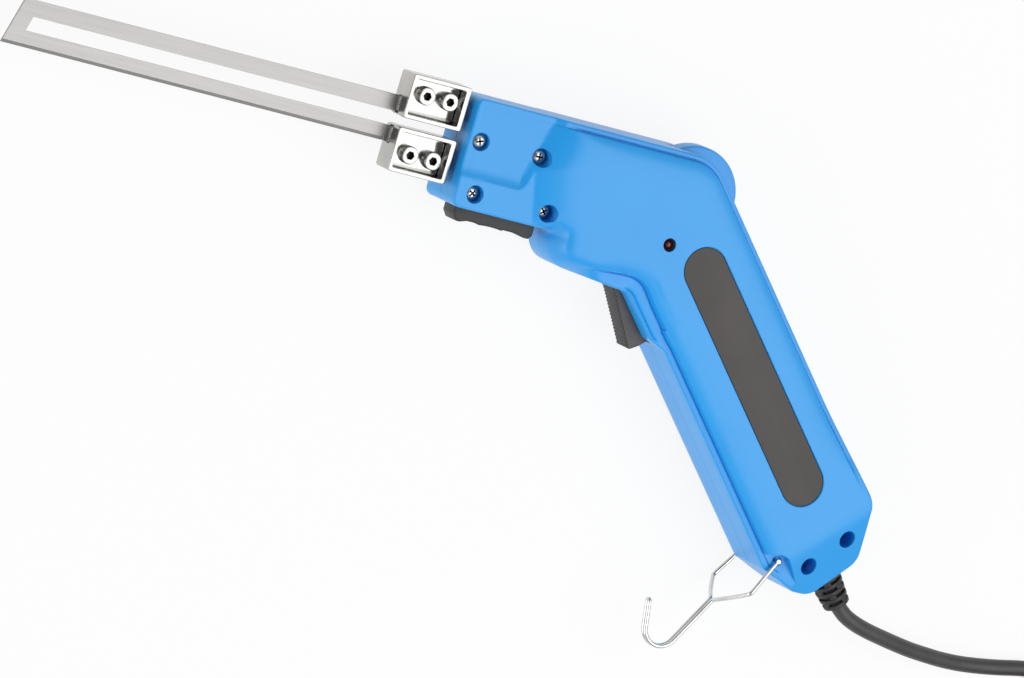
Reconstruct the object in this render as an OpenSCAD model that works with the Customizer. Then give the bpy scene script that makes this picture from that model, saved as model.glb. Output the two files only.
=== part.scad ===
// Electric hot knife lying on its far side.
// X runs along the barrel with the blade towards -X, Y is the tool's top, Z is up.
// The origin is where the handle's centre line crosses the blade's, on the rest plane.

/* [Casing] */
// Half thickness of the casing, from the parting plane to its flat panel
casing_half = 19; // [18:0.25:21]
// Half thickness of the stepped rim round the casing
rim_half = 14; // [13.5:0.25:15]
// Wall of the two half shells
wall = 2.4; // [2:0.1:2.8]
// Height of the barrel's top edge above the blade line
barrel_top = 16.5; // [16:0.25:19]
// Reach of the nose's front face ahead of the origin
nose_reach = 82; // [82:0.5:88]
// Depth of the nose's lower edge under the blade line
nose_drop = 25.25; // [24.5:0.25:27]
// Half thickness of the nose's upper panel
nose_half = 12.5; // [12:0.25:13.5]
// Half thickness of the nose's lower pad
pad_half = 13.5; // [13:0.25:14]
// Reach of the belly's front wall ahead of the origin
belly_front = 37.5; // [36:0.5:39]
// Depth of the belly's front corner under the blade line
belly_drop = 37.25; // [36:0.25:39]
// Slope of the belly's lower edge
belly_slope = 5.5; // [4:0.5:7]

/* [Handle] */
// Angle of the handle under the blade line
handle_angle = 47; // [44:0.5:50]
// Distance of the handle's rear edge from its centre line
grip_back = 24.5; // [23.5:0.25:26]
// Distance of the handle's front edge from its centre line
grip_front = 25.25; // [24.5:0.25:26]
// Distance of the lip beside the trigger from the handle's centre line
lip_front = 28.5; // [28:0.25:29]
// Length from the origin to the handle's end
handle_length = 175.5; // [174:0.5:190]
// Half thickness of the handle's end behind its sloping facet
facet_half = 10.25; // [9:0.25:12]

/* [Blade] */
// Reach of the blade's lower tip ahead of the origin
blade_reach = 270; // [220:1:330]
// Width of the slotted blade
blade_w = 18; // [17.5:0.1:18.2]
// Width of the slot between the two strips
slot_w = 5.6; // [5:0.1:6]
// Thickness of the blade
blade_t = 1; // [0.8:0.05:1.2]
// Setback of the blade's upper tip from its lower tip
tip_slant = 5; // [2:0.5:8]
// Width of the ground edge along the lower strip
grind_w = 1.3; // [0.8:0.1:2]

/* [Clamps] */
// Length of a clamp cage along the blade
cage_len = 24.5; // [24.5:0.25:27]
// Height of a clamp cage across the blade
cage_h = 17; // [16.4:0.1:17.4]
// Gap between the two clamp cages
cage_gap = 3.6; // [3.4:0.1:4]
// Depth of a clamp cage
cage_depth = 12; // [11.5:0.25:13]
// Thickness of the cage floor that takes the screws
cage_floor = 3; // [2.5:0.25:3.5]
// Thickness of the cage's thin walls
cage_wall = 1.5; // [1.2:0.1:1.7]
// Clear space between the cages and the casing's nose
cage_stand = 2.5; // [2:0.25:4]
// Radius of the clamp screw's thread
clamp_screw_r = 1.95; // [1.8:0.05:2.1]
// Radius of the clamp screw's head
clamp_head_r = 3.5; // [3.3:0.05:3.6]
// Height of the clamp screw's head
clamp_head_h = 4; // [3.5:0.1:4.4]
// Distance between the two screws of a clamp
clamp_pitch = 9.7; // [9.4:0.1:10]
// Thickness of the pressure plate
plate_t = 2.5; // [2:0.1:3]

/* [Screws] */
// Radius of the casing screw's shank
screw_r = 1.5; // [1.3:0.05:1.6]
// Radius of the casing screw's pan head
screw_head_r = 2.5; // [2.3:0.05:2.8]
// Height of the casing screw's pan head
screw_head_h = 2.4; // [2:0.1:2.6]
// Radius of the counterbores over the casing screws
counterbore_r = 3.5; // [3.2:0.05:3.6]
// Radius of the screw bosses
boss_r = 4.4; // [4.2:0.05:4.6]

/* [Transformer] */
// Width of the laminated core across the blade line
core_w = 38; // [37:0.25:38.5]
// Length of the laminated core along the blade line
core_len = 28; // [27:0.25:29]
// Height of the lamination stack
core_stack = 18; // [17:0.25:18.5]
// Width of the core's middle leg
core_leg = 12; // [11.5:0.1:12.2]
// Width of each winding window
window_w = 6.5; // [6.4:0.05:6.8]
// Width of a conductor bar
bar_w = 8; // [7.5:0.1:8.2]
// Thickness of a conductor bar
bar_t = 3; // [2.5:0.1:3.2]

/* [Trigger] */
// Thickness of the trigger
trigger_t = 10.4; // [9.6:0.1:10.8]
// Radius of the trigger's pivot pin
pivot_r = 1.5; // [1.3:0.05:1.7]
// Radius of the microswitch plunger
plunger_r = 2; // [1.8:0.05:2.2]

/* [Dial] */
// Radius of the heat dial
dial_r = 19.4; // [19:0.1:19.6]
// Thickness of the heat dial
dial_t = 8; // [7:0.1:8.6]
// Radius of the dial's shaft
dial_shaft_r = 3; // [2.7:0.05:3.3]
// Radius of the potentiometer's body
pot_r = 8; // [7.5:0.1:8.5]

/* [Lamp and label] */
// Radius of the indicator lamp
lamp_r = 1.5; // [1.3:0.05:1.7]
// Radius of the lamp holder
lamp_holder_r = 2.6; // [2.4:0.05:2.8]
// Length of the label plate
label_len = 113; // [100:0.5:114]
// Width of the label plate
label_w = 18.5; // [16:0.25:20]
// Thickness of the label plate
label_t = 0.6; // [0.4:0.05:0.8]

/* [Slide switch] */
// Length of the switch bezel under the nose
bezel_len = 34; // [32:0.25:34.5]
// Width of the switch bezel
bezel_w = 10.4; // [10:0.1:11]
// Height of the bezel's end lips
bezel_lip = 5.8; // [5.2:0.1:6.2]
// Travel of the knob each way
knob_travel = 4; // [3:0.1:4.4]
// Length of the sliding knob
knob_len = 11.5; // [11:0.1:12]

/* [Hook] */
// Radius of the hook's wire
wire_r = 0.85; // [0.7:0.05:0.95]
// Distance of each fork leg's elbow from the parting plane
fork_half = 17.4; // [16.6:0.1:17.8]
// Bend radius of the hook's mouth
hook_r = 7; // [6:0.25:9]

/* [Cord] */
// Diameter of the mains lead
cord_d = 6.2; // [6:0.05:6.3]
// Radius of the innermost turn of the coil
coil_inner_r = 24.8; // [24.8:0.1:28]
// Turns in the coil
coil_turns = 7.5; // [5.5:1:7.5]
// Spacing of the turns, side by side and layer on layer
coil_pitch = 6.7; // [6.7:0.05:7]

/* [Plug] */
// Width of the plug
plug_w = 38; // [34:0.5:40]
// Thickness of the plug
plug_t = 19; // [18:0.25:20]
// Length of the plug's body
plug_len = 28; // [24:0.5:34]
// Radius of a plug pin
plug_pin_r = 2.4; // [2:0.05:2.4]
// Length of a plug pin
plug_pin_len = 19; // [17:0.25:19]
// Distance between the plug pins
plug_pin_pitch = 19; // [17:0.25:19]

/* [Hidden] */
$fn = 32;

// Clearances and the overrun of every cut
overrun = 1;
run_gap = 0.05;
slide_gap = 0.3;
seat_gap = 0.1;

// Colours as the photograph shows them
blue = "#4aa3ee";
dark = "#2b2929";
steel = "#c9c9c6";
nickel = "#dcdcda";
copper = "#b5703c";
insulation = "#d8cdb4";
label_grey = "#4a4442";

// Handle frame: s along the handle from the origin, n square to it towards its rear
function grip_pt(s, n) = [
    s * cos(handle_angle) + n * sin(handle_angle),
    n * cos(handle_angle) - s * sin(handle_angle)
];
grip_rear = [sin(handle_angle), cos(handle_angle)];

module mid() { translate([0, 0, casing_half]) children(); }
module grip() { mid() rotate([0, 0, -handle_angle]) children(); }

// Rounded outline with clockwise corners [point, radius], drawn in by an inset
corner_steps = 4;
sharp_r = 0.3;
function unit(v) = v / norm(v);
function right_of(d) = [d[1], -d[0]];
function turn_of(a, b) = atan2(a[0] * b[1] - a[1] * b[0], a * b);
function spun(v, angle) = [
    v[0] * cos(angle) - v[1] * sin(angle),
    v[0] * sin(angle) + v[1] * cos(angle)
];
function rounded(corners, inset) = [
    for (i = [0 : len(corners) - 1])
        let (
            count = len(corners),
            here = corners[i][0],
            a = unit(here - corners[(i + count - 1) % count][0]),
            b = unit(corners[(i + 1) % count][0] - here),
            turn = turn_of(a, b),
            side = turn < 0 ? 1 : -1,
            moved = here + (right_of(a) + right_of(b)) * inset / (1 + right_of(a) * right_of(b)),
            r = max(sharp_r, corners[i][1] - side * inset),
            start = moved - a * r * tan(abs(turn) / 2),
            centre = start + right_of(a) * side * r
        )
        for (k = [0 : corner_steps]) centre + spun(start - centre, turn * k / corner_steps)
];
function box_corners(w, h, r) = [
    [[-w / 2, h / 2], r], [[w / 2, h / 2], r], [[w / 2, -h / 2], r], [[-w / 2, -h / 2], r]
];

// Solid through rings [inset, height] of one outline
module loft(corners, rings) {
    outline_count = len(rounded(corners, 0));
    points = [for (ring = rings) for (p = rounded(corners, ring[0])) [p[0], p[1], ring[1]]];
    sides = [
        for (k = [0 : len(rings) - 2]) for (i = [0 : outline_count - 1])
            let (j = (i + 1) % outline_count, low = k * outline_count, high = low + outline_count)
            each [[low + i, low + j, high + j], [low + i, high + j, high + i]]
    ];
    floor_face = [for (i = [outline_count - 1 : -1 : 0]) i];
    roof_face = [for (i = [0 : outline_count - 1]) (len(rings) - 1) * outline_count + i];
    polyhedron(points, concat([floor_face], sides, [roof_face]), convexity = 6);
}

// Casing outline, clockwise from the nose's top corner
nose_round = 2;
rear_round = 20;
heel_rise = 23.5;
heel_round = 12;
end_skew = 2.2;
end_back = 11.1;
end_back_round = 8;
end_front = 12;
end_front_round = 9;
toe_rise = 6.1;
toe_back = 18.2;
toe_round = 4;
toe_start = 20.5;
lip_end = 58;
lip_run = 7;
lip_round = 5;
crotch_round = 6;
belly_round = 10;
scallop_round = 1.5;
nose_foot_round = 3;

rear_s = (grip_back * cos(handle_angle) - barrel_top) / sin(handle_angle);
belly_corner = [-belly_front, -belly_drop];
belly_dir = [cos(belly_slope), -sin(belly_slope)];
crotch = belly_corner
    + belly_dir * (-lip_front - belly_corner * grip_rear) / (belly_dir * grip_rear);
casing_corners = [
    [[-nose_reach, barrel_top], nose_round],
    [grip_pt(rear_s, grip_back), rear_round],
    [grip_pt(handle_length - heel_rise, grip_back), heel_round],
    [grip_pt(handle_length - end_skew, end_back), end_back_round],
    [grip_pt(handle_length, -end_front), end_front_round],
    [grip_pt(handle_length - toe_rise, -toe_back), toe_round],
    [grip_pt(handle_length - toe_start, -grip_front), toe_round],
    [grip_pt(lip_end + lip_run, -grip_front), lip_round],
    [grip_pt(lip_end, -lip_front), lip_round],
    [crotch, crotch_round],
    [belly_corner, belly_round],
    [[-belly_front, -nose_drop], scallop_round],
    [[-nose_reach, -nose_drop], nose_foot_round]
];

// Section of the casing's edge, as rings from the parting plane to the flat panel
ledge_w = 2.6;
step_w = 0.8;
step_h = 1.6;
shoulder_w = 6;
shoulder_drop = 1.2;
panel_inset = 10;
outer_rings = [
    [0, -overrun], [0, rim_half], [ledge_w, rim_half], [ledge_w + step_w, rim_half + step_h],
    [shoulder_w, casing_half - shoulder_drop], [panel_inset, casing_half]
];
inner_rings = [
    [wall, -2 * overrun], [wall, rim_half - wall], [panel_inset, casing_half - wall]
];
inner_roof = casing_half - wall;

// Recessed nose: lower pad level and the deeper upper panel with its slanted rear slope
pad_end = 50;
panel_end = 53.5;
panel_end_y = 3;
panel_slant = 16.5;
panel_foot = 11;
pad_run = 7;
panel_run = 8;
module nose_wedge(level, run, drop) {
    rise = casing_half - level;
    top = casing_half + overrun;
    rotate([90, 0, 0])
        linear_extrude(height = 4 * casing_half, center = true)
            polygon([[-nose_reach, level - drop], [0, level - drop],
                [run * (top - level + drop) / rise, top], [-nose_reach, top]]);
}
module nose_cut(drop) {
    translate([-pad_end, 0, 0]) nose_wedge(pad_half, pad_run, drop);
    intersection() {
        translate([-panel_end, panel_end_y, 0]) rotate([0, 0, -panel_slant])
            nose_wedge(nose_half, panel_run, drop);
        translate([-2 * nose_reach, -panel_foot - drop, 0])
            cube([2 * nose_reach, nose_reach, 2 * casing_half]);
    }
}

// Sloping facet over the handle's end
facet_start = 21;
module end_facet(drop) {
    rotate([0, 0, -handle_angle]) rotate([90, 0, 0])
        linear_extrude(height = 4 * casing_half, center = true)
            polygon([
                [handle_length - facet_start, casing_half - drop],
                [handle_length, facet_half - drop],
                [handle_length + facet_start, facet_half - drop],
                [handle_length + facet_start, casing_half + overrun],
                [handle_length - facet_start, casing_half + overrun]
            ]);
}

// Hook hinge in the handle's front corner, with the wedge that the fork legs swing in
hinge_back = 21;
hinge_n = 19.2;
hinge_s = handle_length - hinge_back;
wedge_back = 3;
wedge_rise = 3.6;
wedge_side = 5.5;
wedge_drop = 3.3;
wedge_far = 14.5;
wedge_reach = 16;
corner_block = 30;
module hook_wedge() {
    rotate([0, 0, -handle_angle]) translate([hinge_s, -hinge_n, rim_half])
        linear_extrude(height = casing_half)
            polygon([
                [-wedge_side, -wedge_drop], [-wedge_back, wedge_back / 2], [0, wedge_rise],
                [wedge_far, wedge_back], [wedge_far + wedge_reach, -wedge_reach],
                [-wedge_reach, -wedge_reach], [-wedge_reach, -wedge_drop - wedge_side]
            ]);
}
module corner_fill() {
    rotate([0, 0, -handle_angle])
        translate([hinge_s - corner_block / 3, -hinge_n - corner_block + wedge_side, -casing_half])
            cube([corner_block, corner_block, 3 * casing_half]);
}

// Casing screws: [place, height of the head's seat]
screw_front = 5;
screw_foot_in = 8;
screw_rise = 0.5;
screw_foot_rise = 6.2;
screw_mid = 30.5;
screw_rear = 6;
screw_end_back = 14.5;
screw_high_n = 9.3;
screw_end_front = 12.9;
screw_low_n = 9;
head_seat = 8.6;
end_seat = 3.5;
screw_depth = 9.5;
pilot_tip = 0.5;
shank_gap = 0.25;
recess_share = 0.5;
screw_places = [
    [[-nose_reach + screw_front, screw_rise], head_seat],
    [[-nose_reach + screw_foot_in, -nose_drop + screw_foot_rise], head_seat],
    [[-nose_reach + screw_mid, screw_rise], head_seat],
    [[-belly_front - screw_rear, -nose_drop + screw_foot_rise], head_seat],
    [grip_pt(handle_length - screw_end_back, screw_high_n), end_seat],
    [grip_pt(handle_length - screw_end_front, -screw_low_n), end_seat]
];
module screw_bosses() {
    for (place = screw_places) translate(place[0]) cylinder(r = boss_r, h = casing_half);
}
module screw_clearances() {
    for (place = screw_places) translate(place[0]) {
        translate([0, 0, -overrun]) cylinder(r = screw_r + shank_gap, h = casing_half);
        translate([0, 0, place[1]]) cylinder(r = counterbore_r, h = casing_half);
    }
}
module screw_pilots() {
    for (place = screw_places) translate(place[0]) translate([0, 0, -overrun])
        cylinder(r = screw_r + run_gap, h = screw_depth + pilot_tip + overrun);
}

// Transformer: place of the core's middle, and the ribs that hold it by its outer legs
core_x = -18;
core_y = -6;
leg_end = core_w / 2;
outer_leg = leg_end - core_leg / 2 - window_w;
window_len = 16;
rib_w = 3;
rib_in = 0.2;
rib_end = 2;
module core_ribs() {
    for (side = [-1, 1])
        translate([core_x, core_y + side * (leg_end - outer_leg + rib_in + rib_w / 2), casing_half])
            cube([core_len - 2 * rib_end, rib_w, 2 * casing_half - core_stack], center = true);
}

// Trigger: pivot in the handle frame, outline in shares of its length and height
pivot_s = 29;
pivot_n = -24;
trigger_len = 24;
trigger_h = 12;
trigger_shares = [
    [-0.117, -0.55], [0.9625, -0.967], [1, -0.583], [1, 0.208], [0.875, 0.458],
    [0.29, 0.458], [-0.083, 0.29], [-0.208, 0], [-0.2, -0.467]
];
trigger_outline = [
    for (p = trigger_shares) [pivot_s + p[0] * trigger_len, pivot_n + p[1] * trigger_h]
];
trigger_room = 1.6;
trigger_head = 5.6;
pivot_boss_r = 3.5;
pivot_pin_half = 10.5;
slot_side = 0.4;
module pivot_bosses() {
    rotate([0, 0, -handle_angle])
        translate([pivot_s, pivot_n, trigger_t / 2 + slot_side + seat_gap])
            cylinder(r = pivot_boss_r, h = casing_half);
}
module pivot_bores() {
    rotate([0, 0, -handle_angle]) translate([pivot_s, pivot_n, 0])
        cylinder(r = pivot_r + run_gap, h = pivot_pin_half + seat_gap);
}
module trigger_slot() {
    rotate([0, 0, -handle_angle])
        translate([pivot_s - trigger_head, pivot_n - 2 * trigger_h, -trigger_t])
            cube([trigger_head + trigger_len + trigger_room, 2 * trigger_h + trigger_head - slot_side,
                trigger_t * 3 / 2 + slot_side]);
}

// Microswitch behind the trigger, on two stepped posts
switch_s = 38;
switch_n = -13;
switch_len = 20;
switch_h = 10;
switch_t = 10;
switch_post_in = 4;
switch_post_r = 3;
switch_stud_r = 1.45;
plunger_s = 46;
plunger_out = 4.9;
plunger_in = 5;
plunger_room = 3;
switch_posts = [
    for (s = [switch_s + switch_post_in, switch_s + switch_len - switch_post_in])
        [s, switch_n + switch_h / 2]
];
module switch_post_pair() {
    rotate([0, 0, -handle_angle]) for (p = switch_posts) translate(p) {
        translate([0, 0, switch_t / 2]) cylinder(r = switch_post_r, h = casing_half);
        translate([0, 0, -switch_t / 2 + overrun]) cylinder(r = switch_stud_r, h = casing_half);
    }
}

// Heat dial and its potentiometer
dial_at = [17.3, 0.6];
dial_room = 0.6;
dial_bore_gap = 0.02;
shaft_end = 10.6;
pot_base = 11.6;
pot_top = 7.5;
bushing_r = 3.5;
bushing_top = 5;
rim_edge = 0.8;
module pot_seat() {
    translate([dial_at[0], dial_at[1], pot_base]) cylinder(r = bushing_r, h = casing_half);
}
module dial_slot() {
    translate([dial_at[0], dial_at[1], 0])
        cylinder(r = dial_r + dial_room, h = dial_t + 2 * dial_room, center = true, $fn = 64);
}

// Control board on four staked posts of the far shell
board_s = 66;
board_share = 0.64;
board_len = handle_length * board_share - board_s;
board_w = 32;
board_t = 1.6;
board_base = 10;
board_post_in = 5;
board_post_r = 2.5;
stake_r = 1.2;
stake_up = 0.4;
board_posts = [
    for (s = [board_s + board_post_in, board_s + board_len - board_post_in])
        for (side = [-1, 1]) [s, side * (board_w / 2 - board_post_in)]
];
module board_post_set() {
    rotate([0, 0, -handle_angle]) for (p = board_posts) translate(p) {
        translate([0, 0, board_base]) cylinder(r = board_post_r, h = casing_half);
        translate([0, 0, board_base - board_t - stake_up]) cylinder(r = stake_r, h = casing_half);
    }
}

// Lead inside the handle: axis, clamp posts and saddle
lead_n = -0.2;
cord_r = cord_d / 2;
clamp_back = 29.5;
clamp_s = handle_length - clamp_back;
clamp_w = 6;
clamp_bar_t = 3;
clamp_side = 8;
clamp_post_r = 3;
clamp_end = 4;
clamp_screw_depth = 11;
module lead_posts() {
    rotate([0, 0, -handle_angle]) translate([clamp_s + clamp_w / 2, lead_n, 0]) {
        for (side = [-1, 1]) translate([0, side * clamp_side, 0]) difference() {
            translate([0, 0, -cord_r]) cylinder(r = clamp_post_r, h = 2 * casing_half);
            translate([0, 0, -cord_r - overrun])
                cylinder(r = screw_r + run_gap, h = clamp_screw_depth + pilot_tip + overrun);
        }
        translate([-clamp_w / 2, -cord_r, cord_r]) cube([clamp_w, 2 * cord_r, casing_half]);
    }
}

// Strain relief in the handle's end wall
relief_neck_r = 5;
relief_flange_r = 6.5;
relief_collar_r = 6.9;
relief_base_r = 6.4;
relief_tip_r = 5.2;
relief_in = 6;
relief_flange_t = 2.8;
relief_skew = 0.2;
relief_collar_t = 1.8;
relief_len = 11.8;
relief_ribs = 4;
rib_depth = 0.7;
relief_end = handle_length - relief_skew + relief_collar_t + relief_len;
module relief_hole() {
    rotate([0, 0, -handle_angle]) translate([handle_length - relief_in - seat_gap, lead_n, 0])
        rotate([0, 90, 0]) {
            cylinder(r = relief_neck_r + seat_gap, h = handle_length);
            cylinder(r = relief_flange_r + seat_gap, h = relief_flange_t + 2 * seat_gap);
        }
}

// Notches for the conductor bars in the nose's front wall, open some way towards the blade line
bar_in = 5.5;
notch_gap = 0.2;
notch_open = 3;
bar_mid = bar_in + bar_w / 2;
module bar_notches() {
    for (side = [-1, 1]) translate([-nose_reach, side * (bar_mid - notch_open / 2), 0])
        cube([4 * wall, bar_w + notch_open + 2 * notch_gap, bar_t + 2 * notch_gap], center = true);
}

// Slide switch under the nose
bezel_back = 5;
slide_x = -belly_front - bezel_back - bezel_len / 2;
bezel_floor = 1;
bezel_h = 4;
bezel_end = 5.5;
channel_w = 8;
knob_gap = 0.2;
knob_w = channel_w - 2 * slide_gap;
knob_h = 3.8;
stem_len = 6;
stem_w = 4;
stem_gap = 0.4;
stem_up = 7.1;
slide_body_len = 20;
slide_body_w = 10;
slide_body_h = 6;
slide_cavity = 4.1;
module stem_slot(depth) {
    cube([stem_len + 2 * (knob_travel + stem_gap), depth, stem_w + 2 * stem_gap], center = true);
}
module switch_slot() {
    translate([slide_x, -nose_drop, 0]) stem_slot(4 * wall);
}

// Hook bores at the two ends of its hinge
hook_pin = 7;
hinge_lift = 1;
hinge_z = rim_half + hinge_lift;
hook_room = 0.7;
hook_sink = 1.5;
module hook_bores() {
    rotate([0, 0, -handle_angle]) translate([hinge_s, -hinge_n, 0]) {
        translate([0, 0, hinge_z - hook_pin - seat_gap])
            cylinder(r = wire_r + run_gap, h = casing_half);
        translate([0, 0, rim_half - hook_sink]) cylinder(r = wire_r + hook_room, h = casing_half);
    }
}

// Indicator lamp and label on the near panel
lamp_at = [7.2, -18.8];
lamp_sink = 0.6;
lamp_dome = 1.2;
lamp_foot = 3;
holder_len = 5.4;
holder_flange_r = 3.4;
holder_flange_t = 1.2;
label_s = 82.7;
label_n = 1;
label_depth = 1;
label_gap = 0.3;
module stadium(length, width, height) {
    run = length - width;
    translate([0, 0, height / 2]) cube([run, width, height], center = true);
    for (side = [-1, 1]) translate([side * run / 2, 0, 0]) cylinder(d = width, h = height);
}
module label_place(z) {
    rotate([0, 0, -handle_angle]) translate([label_s, label_n, z]) children();
}

// Half shell with its parting plane at zero; the children are ribs and posts in the hollow
module casing_form() {
    difference() {
        loft(casing_corners, outer_rings);
        nose_cut(0);
        end_facet(0);
        hook_wedge();
    }
}
module cavity() {
    difference() {
        loft(casing_corners, inner_rings);
        nose_cut(wall);
        end_facet(wall);
        corner_fill();
    }
}
module half_shell() {
    difference() {
        casing_form();
        difference() {
            cavity();
            screw_bosses();
            core_ribs();
            pivot_bosses();
            children();
        }
        pivot_bores();
        trigger_slot();
        dial_slot();
        relief_hole();
        bar_notches();
        switch_slot();
        hook_bores();
        under_parting();
    }
}
module under_parting() {
    translate([0, 0, -casing_half])
        cube([4 * handle_length, 4 * handle_length, 2 * casing_half], center = true);
}
module near_shell() {
    color(blue) mid() difference() {
        half_shell();
        screw_clearances();
        translate(lamp_at) cylinder(r = lamp_holder_r + run_gap, h = 2 * casing_half);
        label_place(casing_half - label_depth)
            stadium(label_len + 2 * label_gap, label_w + 2 * label_gap, casing_half);
    }
}
module far_shell() {
    color(blue) mid() mirror([0, 0, 1]) difference() {
        half_shell() {
            switch_post_pair();
            board_post_set();
            lead_posts();
            pot_seat();
        }
        screw_pilots();
    }
}
// Pan head screw with its seat at zero
cross_len_share = 0.62;
cross_w_share = 0.16;
module pan_screw(length) {
    difference() {
        union() {
            cylinder(r = screw_head_r, h = screw_head_h * recess_share);
            translate([0, 0, screw_head_h * recess_share])
                cylinder(r1 = screw_head_r, r2 = screw_head_r * cross_len_share,
                    h = screw_head_h * recess_share);
            translate([0, 0, -length]) cylinder(r = screw_r, h = length);
        }
        for (turn = [0, 90]) rotate([0, 0, turn]) translate([0, 0, screw_head_h])
            cube([2 * screw_head_r * cross_len_share, 2 * screw_head_r * cross_w_share,
                screw_head_h], center = true);
    }
}
module housing_screws() {
    color(nickel) mid() for (place = screw_places)
        translate([place[0][0], place[0][1], place[1]]) pan_screw(place[1] + screw_depth);
}

// Blade: one strip bent to a long U, with a slanted tip and a ground lower edge
cage_rear = nose_reach + cage_stand;
cage_front = cage_rear + cage_len;
cage_in = cage_gap / 2;
cage_out = cage_in + cage_h;
cage_back = 2;
cage_round = 1.2;
blade_root = cage_rear + cage_back + cage_wall;
tip_web = 8.3;
module blade() {
    slot_tip = blade_reach - tip_web;
    slot_slant = tip_slant * slot_w / blade_w;
    color(steel) mid() difference() {
        translate([0, 0, -blade_t]) linear_extrude(height = blade_t) polygon([
            [-blade_root, blade_w / 2], [-blade_reach + tip_slant, blade_w / 2],
            [-blade_reach, -blade_w / 2], [-blade_root, -blade_w / 2],
            [-blade_root, -slot_w / 2], [-slot_tip, -slot_w / 2],
            [-slot_tip + slot_slant, slot_w / 2], [-blade_root, slot_w / 2]
        ]);
        translate([-cage_front - grind_w, -blade_w / 2, 0]) rotate([0, -90, 0])
            linear_extrude(height = blade_reach)
                polygon([[overrun, -overrun], [overrun, grind_w], [0, grind_w],
                    [-blade_t * recess_share, 0], [-blade_t * recess_share, -overrun]]);
    }
}

// Clamp cages: open boxes with a floor, holding the blade's ends under pressure plates
notch_in = 0.6;
notch_side = 0.3;
plate_in = 0.3;
plate_round = 1.5;
cap_first = 8.1;
cage_low = blade_t + cage_floor;
cap_y = blade_w / 2 + plate_t;
cap_x = [cage_front - cap_first, cage_front - cap_first - clamp_pitch];
socket_r = 1.73;
cap_gap = 0.15;
module cage_plan(grow, r) {
    polygon(rounded(box_corners(cage_len + 2 * grow, cage_h + 2 * grow, r), 0));
}
module clamp_cage() {
    cage_mid = [-(cage_rear + cage_front) / 2, (cage_in + cage_out) / 2];
    difference() {
        translate([cage_mid[0], cage_mid[1], -cage_low])
            linear_extrude(height = cage_depth) cage_plan(0, cage_round);
        translate([-cage_front + cage_wall, cage_in + cage_wall, -blade_t])
            cube([cage_len - cage_wall - cage_back, cage_h - 2 * cage_wall, cage_depth]);
        translate([-cage_front - overrun, cage_in + notch_in, -blade_t])
            cube([cage_wall + 2 * overrun, blade_w / 2 - cage_in - notch_in + notch_side,
                blade_t + plate_t]);
        translate([-cage_front - overrun, cage_in + notch_in, -blade_t])
            cube([cage_front - blade_root + notch_side + overrun, cage_wall,
                blade_t + notch_side]);
        for (x = cap_x) translate([-x, cap_y, -cage_low - overrun])
            cylinder(r = clamp_screw_r + run_gap, h = cage_depth);
    }
}
module clamp_plate() {
    plate_len = cage_len - cage_wall - cage_back - 2 * plate_in;
    plate_h = cage_h - 2 * cage_wall - 2 * plate_in;
    difference() {
        translate([-cage_front + cage_wall + plate_in + plate_len / 2, (cage_in + cage_out) / 2, 0])
            linear_extrude(height = plate_t)
                polygon(rounded(box_corners(plate_len, plate_h, plate_round), 0));
        for (x = cap_x) translate([-x, cap_y, -overrun])
            cylinder(r = clamp_screw_r + cap_gap, h = plate_t + 2 * overrun);
    }
}
module upper_clamp_cage() { color(nickel) mid() clamp_cage(); }
module lower_clamp_cage() { color(nickel) mid() mirror([0, 1, 0]) clamp_cage(); }
module upper_clamp_plate() { color(nickel) mid() clamp_plate(); }
module lower_clamp_plate() { color(nickel) mid() mirror([0, 1, 0]) clamp_plate(); }
module clamp_screws() {
    color(nickel) mid() for (x = cap_x) for (side = [-1, 1])
        translate([-x, side * cap_y, plate_t]) difference() {
            union() {
                cylinder(r = clamp_head_r, h = clamp_head_h);
                translate([0, 0, -plate_t - cage_low])
                    cylinder(r = clamp_screw_r, h = plate_t + cage_low);
            }
            translate([0, 0, clamp_head_h * recess_share])
                cylinder(r = socket_r, h = clamp_head_h, $fn = 6);
        }
}

// Conductor bars with a riser to the secondary strap's tabs
riser_x = 38;
bobbin_wall = 1;
bobbin_gap = 0.2;
wind_t = 3.3;
flange_in = 0.3;
strap_t = 1.2;
strap_w = 10;
strap_slot = 4;
tab_w = 6;
wind_gap = 0.1;
tube_y = core_leg / 2 + bobbin_gap + bobbin_wall;
tube_z = core_stack / 2 + bobbin_gap + bobbin_wall;
wind_y = tube_y + wind_gap + wind_t;
wind_z = tube_z + wind_gap + wind_t;
strap_y = wind_y + bobbin_gap;
strap_z = wind_z + bobbin_gap;
module conductor(low, high) {
    translate([-cage_rear, low, -bar_t / 2]) cube([cage_rear - riser_x, high - low, bar_t]);
}
module riser(low, high) {
    translate([-riser_x - bar_t, low, -bar_t / 2]) cube([bar_t, high - low, strap_z + bar_t / 2]);
}
module upper_conductor() {
    color(copper) mid() {
        conductor(bar_in, bar_in + bar_w);
        riser(core_y + strap_slot / 2 + notch_gap, bar_mid);
    }
}
module lower_conductor() {
    color(copper) mid() {
        conductor(-bar_in - bar_w, -bar_in);
        riser(-bar_in - bar_w, -bar_in);
    }
}

// Insulator block that holds the bars in the nose
block_back = 11;
block_x = nose_reach - block_back;
block_len = 8;
block_gap = 0.2;
block_top = barrel_top - wall - block_gap;
block_foot = 14.6;
block_half = nose_half - wall - seat_gap;
module nose_insulator() {
    color(insulation) mid() difference() {
        translate([-block_x, -block_foot, -block_half])
            cube([block_len, block_top + block_foot, 2 * block_half]);
        for (side = [-1, 1]) translate([-block_x + block_len / 2, side * bar_mid, 0])
            cube([2 * block_len, bar_w + notch_gap, bar_t + notch_gap], center = true);
    }
}

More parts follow.
